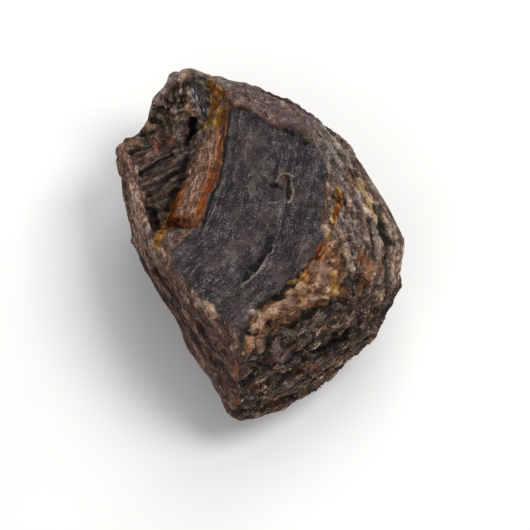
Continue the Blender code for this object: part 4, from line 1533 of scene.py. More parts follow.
@dataclass(frozen=True)
class Head(Region):
    """The rough brown lump at the head, with a streaked blue-grey facet on its right."""

    look: Look = Look.HEAD
    outline: Outline = Outline((
        (-19, 23.9), (-19.6, 27.9), (-17.4, 31.6), (-14, 34.6), (-9.9, 34.4), (-7.9, 31.4),
        (-9.1, 29.1), (-8.9, 25.9), (-9.5, 23.9), (-11.3, 23.4), (-12.9, 23.9),
        (-16, 23.5)))
    fade: Pair = (-0.35, -0.05)
    paler: float = 0.15
    facet: Outline = Outline((
        (-12.7, 30.5), (-11, 31), (-10, 30), (-9.5, 28), (-9.3, 25.8), (-9.7, 24),
        (-10.3, 24), (-11, 25.3), (-11.8, 26.7), (-12.5, 28.3)))
    facet_edge: Pair = (-0.2, 0.5)
    line: Strand = Strand(((-11.6, 32), (-11, 28.6), (-9.8, 24.4)))
    seed: float = 190.0
    streaks: tuple[Relief, ...] = (
        Relief(Pattern.SWELL, 0.2, 0.9, 1.0, 2, 44.0, (0.5, 5.0, math.inf)),
    )
    lumps: Relief = Relief(Pattern.SWELL, 0.34, 0.8, 1.0, 4, 41.0)
    crags: Relief = Relief(Pattern.CRAG, 0.3, 0.55, 1.5, 1, 6.0)
    crevices: Relief = Relief(Pattern.CREVICE, 0.3, 0.8, 1.5, 3, 19.0)
    brow: Strand = Strand(((-18.5, 28), (-16.5, 30.5), (-14, 32.5), (-11, 33)))
    brow_reach: float = 2.8
    brow_calm: float = 0.75
    patches: tuple[Blotches, ...] = (
        Blotches(Look.GREY, 2, 0.45, 151),
        Blotches(Look.TAN, 1.6, 0.4, 152, (0.2, 0.55)),
        # Dark patches, partly painted shade for hollows.
        Blotches(Look.DARK, 1.7, 0.45, 153, (0.25, 0.6)),
    )
    # The sunk dark and green-black strokes paint shade into hollows, crevices and the hole.
    strokes: tuple[Stroke, ...] = draw(
        (0.5, 0.1, Look.TAN, 0.8, (-13.8, 32.5), (-13, 32.3)),
        (0.67, 0.1, Look.TAN, 0.55, (-13.3, 31.5), (-12.5, 31.7)),
        (1.67, 0.15, Look.GREY, 0.6, 0.9, 0.6, (-18.2, 28.2), (-17, 29.8), (-15.7, 31),
         (-14.2, 31.8)), (0.83, 0, Look.OLIVE, 0.6, (-16.7, 28.2), (-14.5, 28.5)),
        (1.17, 0, Look.GREEN_BLACK, 0.9, 0.9, (-12.2, 32.2), (-10.8, 31.3), (-9.3, 30.5)),
        (1.17, -0.1, Look.GREEN_BLACK, 0.85, 0.9, (-12.8, 30.8), (-11.5, 29.8),
         (-9.8, 29.2)), (0.33, 0.15, Look.MAUVE, 0.7, 0.8, (-11.5, 31.8), (-12, 30.8)),
        (0.4, 0.15, Look.OLIVE, 0.8, 0.8, (-10.2, 30.2), (-9.5, 29.2)),
        (0.43, 0.1, Look.ORANGE_SKIN, 0.75, 0.9, (-13, 27.8), (-12.8, 26.3)),
        (0.37, 0.2, Look.YELLOW, 0.5, 0.8, (-11.3, 24), (-10.3, 23.7), (-9.7, 23)),
        (0.5, -0.45, Look.DARK, 0.7, (-13.5, 30.3), (-13.8, 28.8), (-14, 26.8)),
        (0.58, 0, Look.STAIN, 0.8, (-13.2, 27.8), (-12.5, 27)),
        (0.83, 0.15, Look.TAN, 0.6, 0.9, (-13, 26.2), (-12.5, 24.3)),
        (0.77, -1.2, Look.DARK, 1, (-11.9, 24.2), (-12.1, 23.2), (-12.2, 22.2)),
        (0.6, -0.8, Look.DARK, 0.95, 0.7, (-12.2, 22.3), (-12.7, 21.2), (-13.3, 20.2)),
        (0.37, -0.35, Look.DARK, 0.6, 0.7, (-15.2, 27.8), (-15.7, 26.5), (-16.5, 25.5)),
        (0.43, 0.3, (-17.5, 26.8), (-16.5, 26.5), (-15.5, 25.8)),
        (0.43, -0.3, Look.DARK, 0.4, 0.8, (-14.5, 30.2), (-15.2, 28.8)),
        # Painted highlights: two thin pale streaks on the glassy facet.
        (0.22, 0.2, Look.PALE, 0.6, 0.7, (-11.5, 28.3), (-11.3, 26.8), (-11.2, 25.8)),
        (0.22, 0.2, Look.PALE, 0.9, 0.7, (-9.7, 26.2), (-9.6, 25.2)),
        (1, 0.45, Look.GREY, 0.5, 0.8, (-14.2, 23), (-14, 20.7)),
        (0.67, 0.3, Look.GREY, 0.35, 0.8, (-10.8, 23), (-10.8, 21.2)),
        (0.83, 0.3, Look.GREY, 0.6, (-18.5, 25.5), (-17.5, 25)),
        (0.83, 0.2, Look.TAN, 0.4, (-19.8, 23.8), (-19, 23)),
        (0.83, -0.7, Look.GREEN_BLACK, 1, (-20.5, 21.8), (-19.5, 22), (-18.7, 22.3)),
        (0.5, -0.4, Look.DARK, 0.6, (-17, 26.2), (-16.2, 25.5), (-15.5, 24.7)),
        (0.58, -0.3, Look.DARK, 0.5, (-14.8, 27), (-14.5, 25.8)),
        (0.58, -0.1, Look.OLIVE, 0.6, (-15.5, 23.2), (-14.7, 23.7)),
        (0.5, -0.35, Look.DARK, 0.45, (-16.5, 24.3), (-15.5, 22.5), (-15.8, 21)),
        (0.67, 0.15, Look.TAN, 0.45, (-22.3, 20.3), (-21.2, 20.3)),
        (0.53, 0.1, Look.RED, 0.65, 0.5, (-18.5, 20.5), (-18.3, 19.8), (-18.2, 19)),
        (0.5, -0.25, Look.DARK, 0.6, (-17, 20.8), (-16.7, 19.7)),
        (0.83, 0.1, Look.GREY, 0.6, 0.9, (-7.5, 30.8), (-6.5, 30.2), (-5.8, 29.5)),
        (0.47, -0.35, Look.DARK, 0.9, 0.7, (-6.2, 28.2), (-5.8, 26.7), (-6, 24.5)),
        (0.4, -0.35, Look.DARK, 0.9, 0.7, (-6.3, 24.2), (-6.6, 22.2), (-7, 20.2),
         (-7.2, 18.2)), (1, 0.2, Look.TAN, 0.35, 0.9, 0.3, (-15.5, 25.5), (-14.8, 24.2)),
    )

    def shape(self, surface: FineSurface) -> None:
        """Roughens the lump, calmer on its brow, and lays streaks down the facet.

        Args:
            surface: the lump's surface.
        """
        share = surface.cover(self.look, self.outline, self.edge, self.fade)
        facet = surface.cover(Look.BLUEGREY, self.facet, self.facet_edge)
        run = surface.measure(self.line)
        surface.run_along(facet, run, self.seed)
        gap, _ = self.brow.measure(surface.sheet)
        rest = share * (1.0 - facet) * (1.0 - self.brow_calm * bump(gap, self.brow_reach))
        surface.emboss(rest, run, self.reliefs(), self.paler)
        surface.emboss(facet, run, self.streaks)
        surface.scatter(rest, self.patches)
        surface.lay(self.strokes)


@dataclass(frozen=True)
class Notch(Region):
    """The fracture hollow in the upper left, with its slanting sheets, hole and pits."""

    look: Look = Look.NOTCH
    outline: Outline = Outline((
        (-23.5, 20.6), (-21.1, 21.6), (-19.1, 24.7), (-17.4, 24.3), (-14, 23.9),
        (-10.1, 23.5), (-9.3, 22.4), (-10.7, 18.4), (-12.3, 14.9), (-14, 11.4), (-15.6, 9),
        (-16.6, 6.6), (-17.8, 4.3), (-18.8, 5.5), (-19.7, 8.2), (-20.3, 11.4),
        (-21.2, 15.3), (-21.7, 17.6)))
    sheets: Outline = Outline((
        (-21.9, 16.9), (-20.7, 18.4), (-18, 19.6), (-14, 19.6), (-12.7, 18.6),
        (-12.9, 16.1), (-14, 12.9), (-15.5, 11), (-18, 9.8), (-19.7, 10.2), (-20.7, 12.9),
        (-21.3, 14.9)))
    sheet_edge: Pair = (-0.3, 0.5)
    sheet_run: Pair = (0.88, 0.47)
    sheet_pitch: float = 1.35
    sheet_height: float = 0.42
    sheet_tint: float = 1.1
    sheet_wave: float = 0.35
    seed: float = 240.0
    lumps: Relief = Relief(Pattern.SWELL, 0.42, 1.1, 1.2, 4, 57.0)
    sheet_reliefs: tuple[Relief, ...] = (Relief(Pattern.SWELL, 0.1, 0.33, 1.2, 4, 57.0),)
    patches: tuple[Blotches, ...] = (
        Blotches(Look.GREY, 1.8, 0.35, 171),
        Blotches(Look.STAIN, 2, 0.4, 172),
    )
    # The sunk green-black and dark strokes paint shade into the hollow under the rim, the
    # gaps between the sheets, the hole and the pit.
    strokes: tuple[Stroke, ...] = draw(
        (0.53, -0.6, Look.GREEN_BLACK, 1, 0.5, (-22.5, 18.7), (-21.3, 19.2), (-19.3, 19.8)),
        (1, 0.25, Look.RIM, 0.75, 0.8, (-21, 17.5), (-19.2, 18), (-17.7, 18.2)),
        (0.83, 0.1, Look.RIM, 0.55, 0.8, (-20.3, 16.5), (-18.8, 17.2)),
        (0.37, -0.6, Look.DARK, 0.95, 0.5, (-20.7, 15.3), (-19.2, 16.3), (-17.5, 17.3),
         (-15.5, 18.3)),
        (0.27, -0.3, Look.DARK, 0.7, 0.5, (-19.7, 15), (-17.8, 16), (-15.8, 17.2)),
        (0.67, 0.15, Look.SLAB, 0.8, 0.9, (-18.7, 15.5), (-16.5, 16.5), (-14.5, 17.8)),
        (0.67, 0.35, Look.PALE, 0.35, (-15, 18.7), (-14, 18)),
        (0.58, -0.1, Look.BLUEGREY, 0.7, (-13.5, 19.2), (-12.5, 18.7)),
        (0.67, -0.6, Look.DARK, 0.8, 0.7, (-13.3, 17.8), (-13.7, 15.8), (-14.3, 13.8)),
        (0.83, 0.15, Look.RIM, 0.3, 0.8, (-19.8, 13.8), (-18.2, 14), (-16.7, 14.7)),
        (0.53, -0.5, Look.DARK, 0.75, (-19.3, 11.5), (-17.8, 12.8), (-16.2, 14.3),
         (-14.7, 15.3)), (0.75, 0.1, Look.OLIVE, 0.5, 0.8, (-17.3, 12.3), (-16.2, 13.2)),
        (0.83, -0.7, Look.DARK, 0.85, 0.7, (-14.8, 12.5), (-15.7, 10.8), (-16.5, 9.2)),
        (0.5, 0.15, Look.BLUEGREY, 0.3, (-18, 10), (-17.2, 11)),
        (1.07, -1.1, Look.DARK, 0.9, 0.8, (-18.7, 9), (-18.7, 7.7), (-18.2, 6.2)),
        (0.43, 0, Look.STAIN, 0.35, 0.9, (-18.5, 8.5), (-18.3, 7)),
        (0.43, 0.25, Look.PALE, 0.95, 0.5, (-21.3, 16.2), (-21.3, 15.3)),
        (0.37, -0.35, Look.DARK, 0.9, (-20.7, 15.2), (-20.5, 14.7)),
        (0.33, 0.1, Look.PALE, 0.7, (-19.5, 6.8), (-19.3, 6)),
    )

    def shape(self, surface: FineSurface) -> None:
        """Cuts the sheets, painting light and shade on their steps, roughens the rest and
        opens the hole and the pit.

        Args:
            surface: the lump's surface.
        """
        share = surface.cover(self.look, self.outline, self.edge)
        slab = surface.cover(Look.SLAB, self.sheets, self.sheet_edge)
        run_x, run_y = self.sheet_run
        turned = surface.sheet @ np.array([[-run_y, run_x], [run_x, run_y]])
        run = np.column_stack((turned, surface.points[:, 2]))
        surface.run_along(slab, run, self.seed)
        wavy = run[:, 0] + self.sheet_wave * swell(surface.points, 3.0, 2, 52.0)
        step = slab * steps(wavy, self.sheet_pitch)
        # Painted light towards each sheet's raised edge and painted shade at its foot.
        surface.raise_by(self.sheet_height * step, self.sheet_tint * step)
        rest = share * (1.0 - slab)
        surface.emboss(rest, run, self.reliefs())
        surface.emboss(slab, run, self.sheet_reliefs)
        surface.scatter(rest, self.patches)
        surface.lay(self.strokes)


@dataclass(frozen=True)
class GoldLedge(Region):
    """The curved golden ledge beyond the slate face, with a ragged pale lip."""

    look: Look = Look.GOLD
    outline: Outline = Outline((
        (-3.8, -14), (-3.2, -11.6), (-2.6, -9.5), (-0.7, -7.3), (1.7, -5.6), (4.4, -3),
        (7.2, 0), (8.8, 2.7), (10.2, 4.3), (12.4, 3.6), (13.6, 0.9), (13.4, -2.8),
        (12.4, -5.4), (10, -6.6), (7.2, -7.9), (4.4, -9.5), (2, -11.1), (-0.5, -12.7),
        (-2, -14.4), (-3.4, -15.8)))
    edge: Pair = (-0.3, 0.6)
    line: Strand = Strand((
        (11.1, 5.1), (9.2, 3.1), (7.6, 0.1), (5.2, -2.2), (3.1, -4.6), (0.9, -6.3),
        (-1.5, -7.9), (-2.6, -9.5), (-3.2, -11.8)))
    seed: float = 290.0
    lip_gap: float = 0.9
    lip_width: float = 0.8
    lip_height: float = 0.35
    lip_tint: float = 0.7
    crumb_share: float = 0.6
    crease_width: float = 0.55
    crease_depth: float = 0.5
    crease_shade: float = 0.85
    crease_start: Pair = (2.0, 6.0)
    crease_end: Pair = (17.0, 21.0)
    lumps: Relief = Relief(Pattern.SWELL, 0.3, 0.9, 1.3, 4, 63.0)
    facets: Relief = Relief(Pattern.CRAG, 0.16, 0.5, 2.2, 1, 11.0)
    # The sunk dark strokes paint the shadow in the undercut along the ledge, and the
    # green-black ones the shade under its lower edge.
    strokes: tuple[Stroke, ...] = draw(
        (0.7, 0.35, Look.CREAM, 0.95, 0.8, (-2.3, -7.8), (-1.5, -7.8), (-0.8, -8.5)),
        (0.67, 0.1, Look.OLIVE, 0.7, 0.8, (-2.5, -9.8), (-2.2, -10.8)),
        (0.83, 0.1, Look.TAN, 0.6, 0.8, (-0.3, -8.8), (1, -8.3)),
        (0.58, 0.2, Look.CREAM, 0.5, 0.8, (1, -7.3), (2.3, -6.8), (3.3, -5.8)),
        (1.17, -0.1, Look.WAXY, 0.95, 0.8, 0.9, (3.7, -5.3), (4.3, -6.2)),
        (0.25, -0.2, Look.STAIN, 0.8, 0.8, (2.7, -4.5), (3.5, -4.2), (3, -5.8)),
        (0.58, 0.1, Look.ORANGE_SKIN, 0.8, 0.8, (6.3, -1.5), (6.8, -2.3)),
        (0.5, 0.1, Look.YELLOW, 0.75, 0.8, (4.3, -3.2), (5.5, -2.5), (6.2, -3)),
        (1.5, 0, Look.WAXY, 0.9, 0.9, 0.9, (7.2, -0.5), (8.8, 0.2), (10.8, -0.8),
         (9.5, -2.3)), (0.2, 0.15, Look.PALE, 0.8, (9.5, 0.5), (9.2, -1.2)),
        (0.43, 0.1, Look.YELLOW, 0.6, 0.8, (11, -2.7), (11.5, -4.2)),
        (0.4, 0.1, Look.ORANGE_SKIN, 0.8, 0.8, (6, -4.7), (6.2, -6.3)),
        (0.67, 0.1, Look.TAN, 0.6, 0.9, (5.2, -6.7), (6.8, -7)),
        (0.67, 0.25, Look.CREAM, 0.75, 0.8, (7.7, -5.8), (8.8, -5.3), (10.3, -5.7)),
        (0.67, 0.15, Look.ORANGE_SKIN, 0.75, 0.9, (10.8, -5.3), (12.5, -4.8), (13.8, -4.5)),
        (0.5, 0, Look.RUST, 0.9, 0.8, (5.7, -8.5), (7.2, -8.7)),
        (0.4, -0.6, Look.DARK, 1, (-1, -7.5), (0.5, -6.3), (2, -5.3)),
        (0.37, -0.6, Look.DARK, 1, (3.2, -4.5), (3.8, -3.3), (4.5, -2.3)),
        (0.4, -0.6, Look.DARK, 1, 0.7, (-3.2, -11.5), (-2.3, -11.7), (-1.3, -11.5)),
        (0.27, -0.35, Look.DARK, 0.7, 0.8, (0.2, -10.2), (1.5, -9.5), (2.8, -9)),
        (0.75, -0.8, Look.GREEN_BLACK, 1, 0.8, (4.3, -10.3), (5.7, -9.2), (7.3, -8.2)),
        (0.6, -0.5, Look.GREEN_BLACK, 0.9, 0.8, (7.7, -7.5), (9.3, -7.2)),
        (0.4, -0.5, Look.DARK, 0.8, 0.8, (9.5, -7.2), (11.5, -6.3), (13.5, -5.7)),
        (0.83, 0.2, Look.ORANGE_SKIN, 0.85, 0.9, 0.6, (-3, -12.2), (-2.7, -14.2)),
        (1.25, 0.3, Look.WAXY, 0.9, 0.9, 0.9, (-1.2, -12.5), (-0.7, -14)),
        (0.23, -0.3, Look.DARK, 0.5, 0.8, (-1.8, -14.5), (-1.5, -12.5)),
        (0.67, 0.2, Look.CREAM, 0.7, 0.9, (-1.8, -8.8), (-0.5, -9.5)),
        (0.67, 0.15, Look.CREAM, 0.5, 0.9, (-0.2, -7.8), (1.2, -7.8), (2.5, -7.2)),
    )

    def shape(self, surface: FineSurface) -> None:
        """Raises the lip with a painted highlight, lays crumbs on it and opens the crease
        behind it, with painted shade in the crease.

        Args:
            surface: the lump's surface.
        """
        share = surface.cover(self.look, self.outline, self.edge)
        run = surface.measure(self.line)
        surface.run_along(share, run, self.seed)
        surface.emboss(share, run, self.reliefs())
        torn = run[:, 0] + 0.5 * swell(surface.points, 1.6, 3, 66.0)
        lip = bump(torn - self.lip_gap, self.lip_width) * share
        # Painted highlight along the raised lip.
        surface.raise_by(lip * self.lip_height, lip * self.lip_tint)
        crumbs = ramp(swell(surface.points, 1.4, 2, 67.0), -0.05, 0.2)
        surface.mark(Look.CREAM, self.crumb_share * crumbs * ramp(lip, 0.35, 0.9))
        along = run[:, 1]
        open_part = ramp(along, *self.crease_start) * (1.0 - ramp(along, *self.crease_end))
        groove = bump(torn, self.crease_width) * open_part * ramp(surface.facing, *SHOWN)
        # Painted shade in the crease: darker by its depth, with the dark look laid in it.
        surface.raise_by(-self.crease_depth * groove, -1.1 * groove)
        surface.mark(Look.DARK, self.crease_shade * ramp(groove, 0.2, 0.8))
        surface.lay(self.strokes)


@dataclass(frozen=True)
class SlateFace(Region):
    """The broad slate-grey face: fine wood-like grain, a split ledge, pits and specks."""

    look: Look = Look.SLATE
    outline: Outline = Outline((
        (-6, 26.7), (-6.6, 23.9), (-7.2, 19.6), (-8.1, 15.3), (-8.9, 12.1), (-10.2, 9),
        (-11.2, 6.6), (-12.9, 4.9), (-14.8, 3.3), (-16.5, 1.3), (-17, 0), (-15.5, -1.8),
        (-13.8, -3.8), (-10.7, -6.5), (-8.5, -8.6), (-6, -11.5), (-3.8, -13.9),
        (-3.3, -12.2), (-2.6, -9.5), (-0.7, -7.2), (1.7, -5.6), (4.3, -3), (7, -0.2),
        (9, 3.1), (9.8, 6.6), (10.5, 9.8), (11.5, 12.9), (12, 15.7), (11.5, 18.4),
        (9.8, 20.6), (7, 22.2), (4.1, 23.2), (1.3, 24.3), (-1.5, 25.4), (-3.8, 26.1)))
    edge: Pair = (-0.25, 0.5)
    line: Strand = Strand((
        (-6.2, 28.3), (-6.5, 24.1), (-7.2, 19.6), (-8.1, 15.3), (-8.9, 12.1), (-10.2, 9),
        (-11.7, 6), (-13.6, 4.1), (-16, 1.5), (-18.8, -1.2)))
    seed: float = 340.0
    soft_edges: tuple[tuple[Strand, float], ...] = (
        (Strand(((-18, 0.5), (-13.8, -3.8), (-10.5, -7), (-6, -12))), 3.5),
        (Strand(((8.5, 22), (11.5, 18), (12, 14), (10.5, 9))), 4.5),
    )
    soft_sink: float = 0.9
    soft_spread: float = 1.9
    grain: Relief = Relief(Pattern.SWELL, 0.1, 0.7, 1.0, 3, 71.0, (0.8, 7.0, math.inf))
    lumps: Relief = Relief(Pattern.SWELL, 0.14, 0.35, 3.2, 3, 74.0)
    split: Strand = Strand((
        (1.3, 3.3), (0.3, 1.9), (-0.3, 0.7), (-0.9, -0.4), (-2.2, -1.6), (-3.8, -3)))
    split_depth: float = 0.5
    split_tint: float = 1.6
    split_reach: float = 2.0
    split_shade: float = 0.7
    split_rim: float = 0.6
    patches: tuple[Blotches, ...] = (
        Blotches(Look.MAUVE, 5.5, 0.5, 76),
        Blotches(Look.OLIVE, 5, 0.22, 78),
        Blotches(Look.GREY, 3, 0.14, 79, (0.2, 0.6)),
    )
    # The sunk dark strokes paint shade into gaps, grooves and pits, along the top edge and
    # beside the vein.
    strokes: tuple[Stroke, ...] = draw(
        (0.3, -0.3, Look.DARK, 0.35, 0.8, (-5.8, 26.5), (-3.7, 26), (-2.3, 25.3),
         (-1.2, 24.3), (0.5, 23.5), (2.5, 22.5), (4.5, 21.8)),
        (0.43, 0.25, Look.RED, 0.3, 0.8, (-5.7, 27), (-3.7, 26.5), (-2.2, 25.8),
         (-0.5, 24.7), (1.7, 23.7), (4.2, 22.7)),
        (0.5, -0.4, Look.DARK, 0.9, (3.2, 22.5), (4.7, 21.8)),
        (0.5, -0.3, Look.DARK, 0.7, (-2.3, 24.3), (-1.5, 24.8)),
        (0.53, -0.45, Look.DARK, 0.9, (6.5, 20.7), (6.7, 20.2)),
        (1.17, 0, Look.OLIVE, 0.7, 1, (-1.7, 17), (-1.3, 15)),
        (1, -0.1, Look.OLIVE, 0.7, 0.9, (-2.2, 13.5), (-1.8, 11.5)),
        (0.3, -0.25, Look.DARK, 0.55, (2.5, 17.8), (2, 16.5), (1.7, 15)),
        (0.87, -0.5, Look.OLIVE, 0.8, 0.7, (1.3, 6.3), (1.7, 5.8)),
        (0.3, -0.25, Look.DARK, 0.75, 0.8, (0.8, 6.5), (1.2, 6.8), (1.8, 6.7)),
        (1.25, -0.45, Look.OLIVE, 0.35, 0.7, (3.2, 13.8), (3.3, 12.5), (3.5, 11.3)),
        (0.57, -0.45, Look.DARK, 0.85, 0.7, (1.2, 13.2), (2, 13.2), (2.5, 13)),
        (0.5, -0.2, Look.DARK, 0.5, 0.8, (1, 12.2), (1.2, 11)),
        (0.53, 0, Look.OLIVE, 0.55, 0.9, (2, 12.2), (2.7, 11.3)),
        (0.4, -0.2, Look.STAIN, 0.6, 0.8, (3, 14.7), (3.7, 14.2)),
        (0.4, -0.5, Look.DARK, 0.9, 0.7, (4.1, 14), (4, 12.8), (4.2, 11.3)),
        (0.25, 0.3, Look.MAUVE, 0.7, 0.8, (3.3, 13.5), (3.2, 12.5), (3.2, 11.3)),
        (0.23, 0.25, Look.PALE, 0.75, 0.7, (1.8, 13.8), (2, 14.5), (2.4, 14.9)),
        (0.22, 0.3, Look.TAN, 0.75, 0.7, (2.5, 15), (2.8, 15.2), (3.2, 15.3), (3.7, 15.2)),
        (0.23, 0.3, Look.PALE, 0.9, 0.7, (3.7, 15.2), (4.3, 14.8), (4.8, 14.5)),
        (0.2, 0.25, Look.PALE, 0.8, 0.7, (4.4, 14.3), (4.5, 13.7), (4.6, 13)),
        (0.23, 0.3, Look.CREAM, 0.8, 0.7, (4.6, 13), (4.9, 12.2), (4.6, 11.2)),
        (0.22, 0.25, Look.PALE, 0.9, 0.7, (4.6, 11.2), (4.2, 10.6), (3.9, 10.4)),
        (0.2, 0.15, Look.PALE, 0.55, 0.7, (0.5, 10.3), (1.2, 10.5), (2, 10.2), (2.5, 10.7)),
        (0.2, 0.1, Look.TAN, 0.35, 0.8, (-2.8, 14.5), (-2.2, 15.2), (-1.2, 14.8),
         (-0.5, 14)),
        (0.22, 0.1, Look.PALE, 0.35, 0.8, (-2.8, 13.2), (-2.5, 12.2), (-2.3, 11.2)),
        (0.27, 0.1, Look.PALE, 0.45, 0.8, (-5.3, 15.5), (-5.2, 14.2)),
        (0.22, -0.2, Look.DARK, 0.6, 0.7, (3.8, 8.5), (4.5, 7.3), (5.5, 6.7), (7, 6.3)),
        (0.18, 0.1, Look.PALE, 0.35, 0.9, (0.7, 6.5), (1.2, 6.9), (1.8, 6.9), (2.3, 6.3),
         (2.2, 5.5)), (0.5, -0.35, Look.DARK, 0.9, 0.8, (1, 3), (0.5, 2.2)),
        (0.57, -0.4, Look.DARK, 0.9, 0.8, (-0.5, 1.3), (-1.3, 0.2), (-2.2, -0.8)),
        # Painted highlight along the lit upper edge of the split.
        (0.22, 0.2, Look.PALE, 0.85, (1.5, 2.5), (1.2, 2), (0.3, 1.7), (-0.2, 0.8),
         (-0.5, -0.2)),
        (0.2, 0.2, Look.PALE, 0.8, (-0.5, -0.2), (-1, -1.2), (-1.8, -1.7), (-2.5, -2.3),
         (-3.5, -3)), (0.3, 0.15, Look.PALE, 0.4, (-6.5, 15), (-7.2, 13), (-8, 11.3)),
        (0.58, -0.3, Look.DARK, 0.4, 0.9, (-8.5, 11.5), (-9.3, 8.8), (-10.3, 6.5)),
        (0.27, 0.1, Look.PALE, 0.3, (7.2, 3.3), (5.8, 2.2), (5.3, 0.5)),
        (0.67, -0.2, Look.DARK, 0.5, 1, (6.5, 9.7), (7.8, 10), (9.3, 9.8)),
        (0.33, -0.2, Look.DARK, 0.5, 0.8, (-10.8, 3.3), (-12.2, 0.5), (-13.2, -2.5)),
        (0.27, -0.15, Look.DARK, 0.45, 0.8, (-8.8, 4.2), (-10.2, 1.2), (-11.5, -2.8)),
        (0.27, -0.2, Look.DARK, 0.45, 0.8, (-5.3, 19.2), (-5.7, 15)),
        (0.27, -0.2, Look.DARK, 0.4, 0.8, (-4.2, 21.7), (-4.5, 16.7)),
        (0.27, -0.2, Look.DARK, 0.4, 0.8, (-6.3, 22.5), (-6.8, 17.5)),
        (1.5, 0, Look.MAUVE, 0.35, 1, (9.2, 13.2), (9.3, 8.3), (8.8, 4.2)),
        (1.5, 0, Look.MAUVE, 0.35, 1, (-4.2, -5.8), (-4.8, -10.8)),
        (1, 0.3, Look.CREAM, 0.7, 0.8, (-9.7, -6.7), (-9.2, -7.3), (-8.7, -8.3)),
        (0.27, -0.3, Look.DARK, 0.7, 0.7, (-8.2, -9.2), (-7.3, -9.8), (-6.8, -10.7)),
        (0.6, 0.15, Look.PALE, 0.6, (-11.3, -5.7), (-10.8, -6.8)),
        (2.17, 0, Look.LINED_SLATE, 0.9, 1, (-6.3, 23.8), (-7, 18.3), (-7.7, 14.2)),
        (2.5, 0, Look.LINED_SLATE, 0.9, 1, (-7.8, 11.5), (-9.2, 8.3), (-10.2, 4.2)),
        (2.67, 0, Look.LINED_SLATE, 0.8, 1, (-10.8, 3.5), (-12, 0.5), (-11.5, -2.8)),
        (2, 0, Look.LINED_SLATE, 0.5, 1, (-4.2, 24.8), (-4.2, 19.2), (-5.2, 14.2)),
        (0.22, -0.25, Look.DARK, 0.5, 0.8, (-4.2, 26.8), (-4.7, 22.8), (-5.3, 19.2)),
        (0.2, 0.1, Look.PALE, 0.25, 0.8, (-5.5, 24.5), (-5.7, 21.8)),
        (0.22, -0.2, Look.DARK, 0.55, 0.8, (-7.3, 10.8), (-8.7, 7.5), (-9.3, 4.8)),
        (0.18, 0.1, Look.PALE, 0.45, 0.8, (-8.2, 9.8), (-9.5, 6.8), (-10.5, 4.8)),
        (0.22, -0.2, Look.DARK, 0.45, 0.8, (-6.2, 12.5), (-7.3, 9.2), (-8.5, 5.8)),
        (0.17, 0.1, Look.PALE, 0.3, 0.8, (-7.2, 8.5), (-8.5, 5.5)),
        (0.22, -0.15, Look.DARK, 0.4, 0.8, (-3.2, 11.5), (-4.2, 8.5)),
        (0.2, -0.15, Look.DARK, 0.35, 0.8, (-0.5, 11.5), (-1.2, 8.5), (-2.5, 5.5)),
        (0.2, -0.15, Look.DARK, 0.35, 0.8, (3.2, 8.5), (2.8, 5.5)),
        (0.22, -0.15, Look.DARK, 0.4, 0.8, (0.8, -0.8), (-1.5, -4.5), (-3.2, -6.5)),
        (0.2, -0.15, Look.DARK, 0.4, 0.8, (4.5, 0.5), (2.5, -2.5)),
    )

    def spread(self, surface: FineSurface) -> Array:
        """Marks the face, which fades out slowly along its soft edges.

        Args:
            surface: the lump's surface.

        Returns:
            Its share of each point.
        """
        soft = np.zeros(len(surface.points))
        for line, reach in self.soft_edges:
            gap, _ = line.measure(surface.sheet)
            soft = np.maximum(soft, bump(gap, reach))
        depth = self.outline.depth(surface.ragged) - self.soft_sink * soft
        start, end = self.edge
        inside = ramp(depth, start, end + self.soft_spread * soft)
        return surface.mark(self.look, inside * ramp(surface.facing, *self.fade))

    def open_split(self, surface: FineSurface, share: Array) -> None:
        """Sinks the face below the split with painted shade in it, and paints a highlight
        along its upper rim.

        Args:
            surface: the lump's surface.
            share: the face's share of each point.
        """
        gap, _ = self.split.measure(surface.ragged)
        gap = gap + 0.25 * swell(surface.points, 0.9, 3, 81.0)
        open_part = 0.35 + 0.65 * ramp(swell(surface.points, 1.5, 3, 77.0), -0.2, 0.2)
        below = ramp(-gap, -0.15, 0.35) * (1.0 - ramp(-gap, 0.5, self.split_reach))
        sunk = below * bump(gap, self.split_reach) * open_part * share
        # Painted shade in the sunk part below the split: darker by its depth, with the dark
        # look laid in it.
        surface.raise_by(-self.split_depth * sunk, -self.split_tint * sunk)
        surface.mark(Look.DARK, self.split_shade * ramp(sunk, 0.2, 0.7))
        # Painted highlight along the split's upper rim.
        surface.mark(Look.PALE, self.split_rim * bump(gap - 0.25, 0.32) * share)

    def shape(self, surface: FineSurface) -> None:
        """Lays the grain, the split, the arch and the pits on the face.

        Args:
            surface: the lump's surface.
        """
        share = self.spread(surface)
        surface.scatter(share, self.patches)
        run = surface.measure(self.line)
        surface.run_along(share, run, self.seed)
        surface.emboss(share, run, self.reliefs())
        self.open_split(surface, share)
        surface.lay(self.strokes)


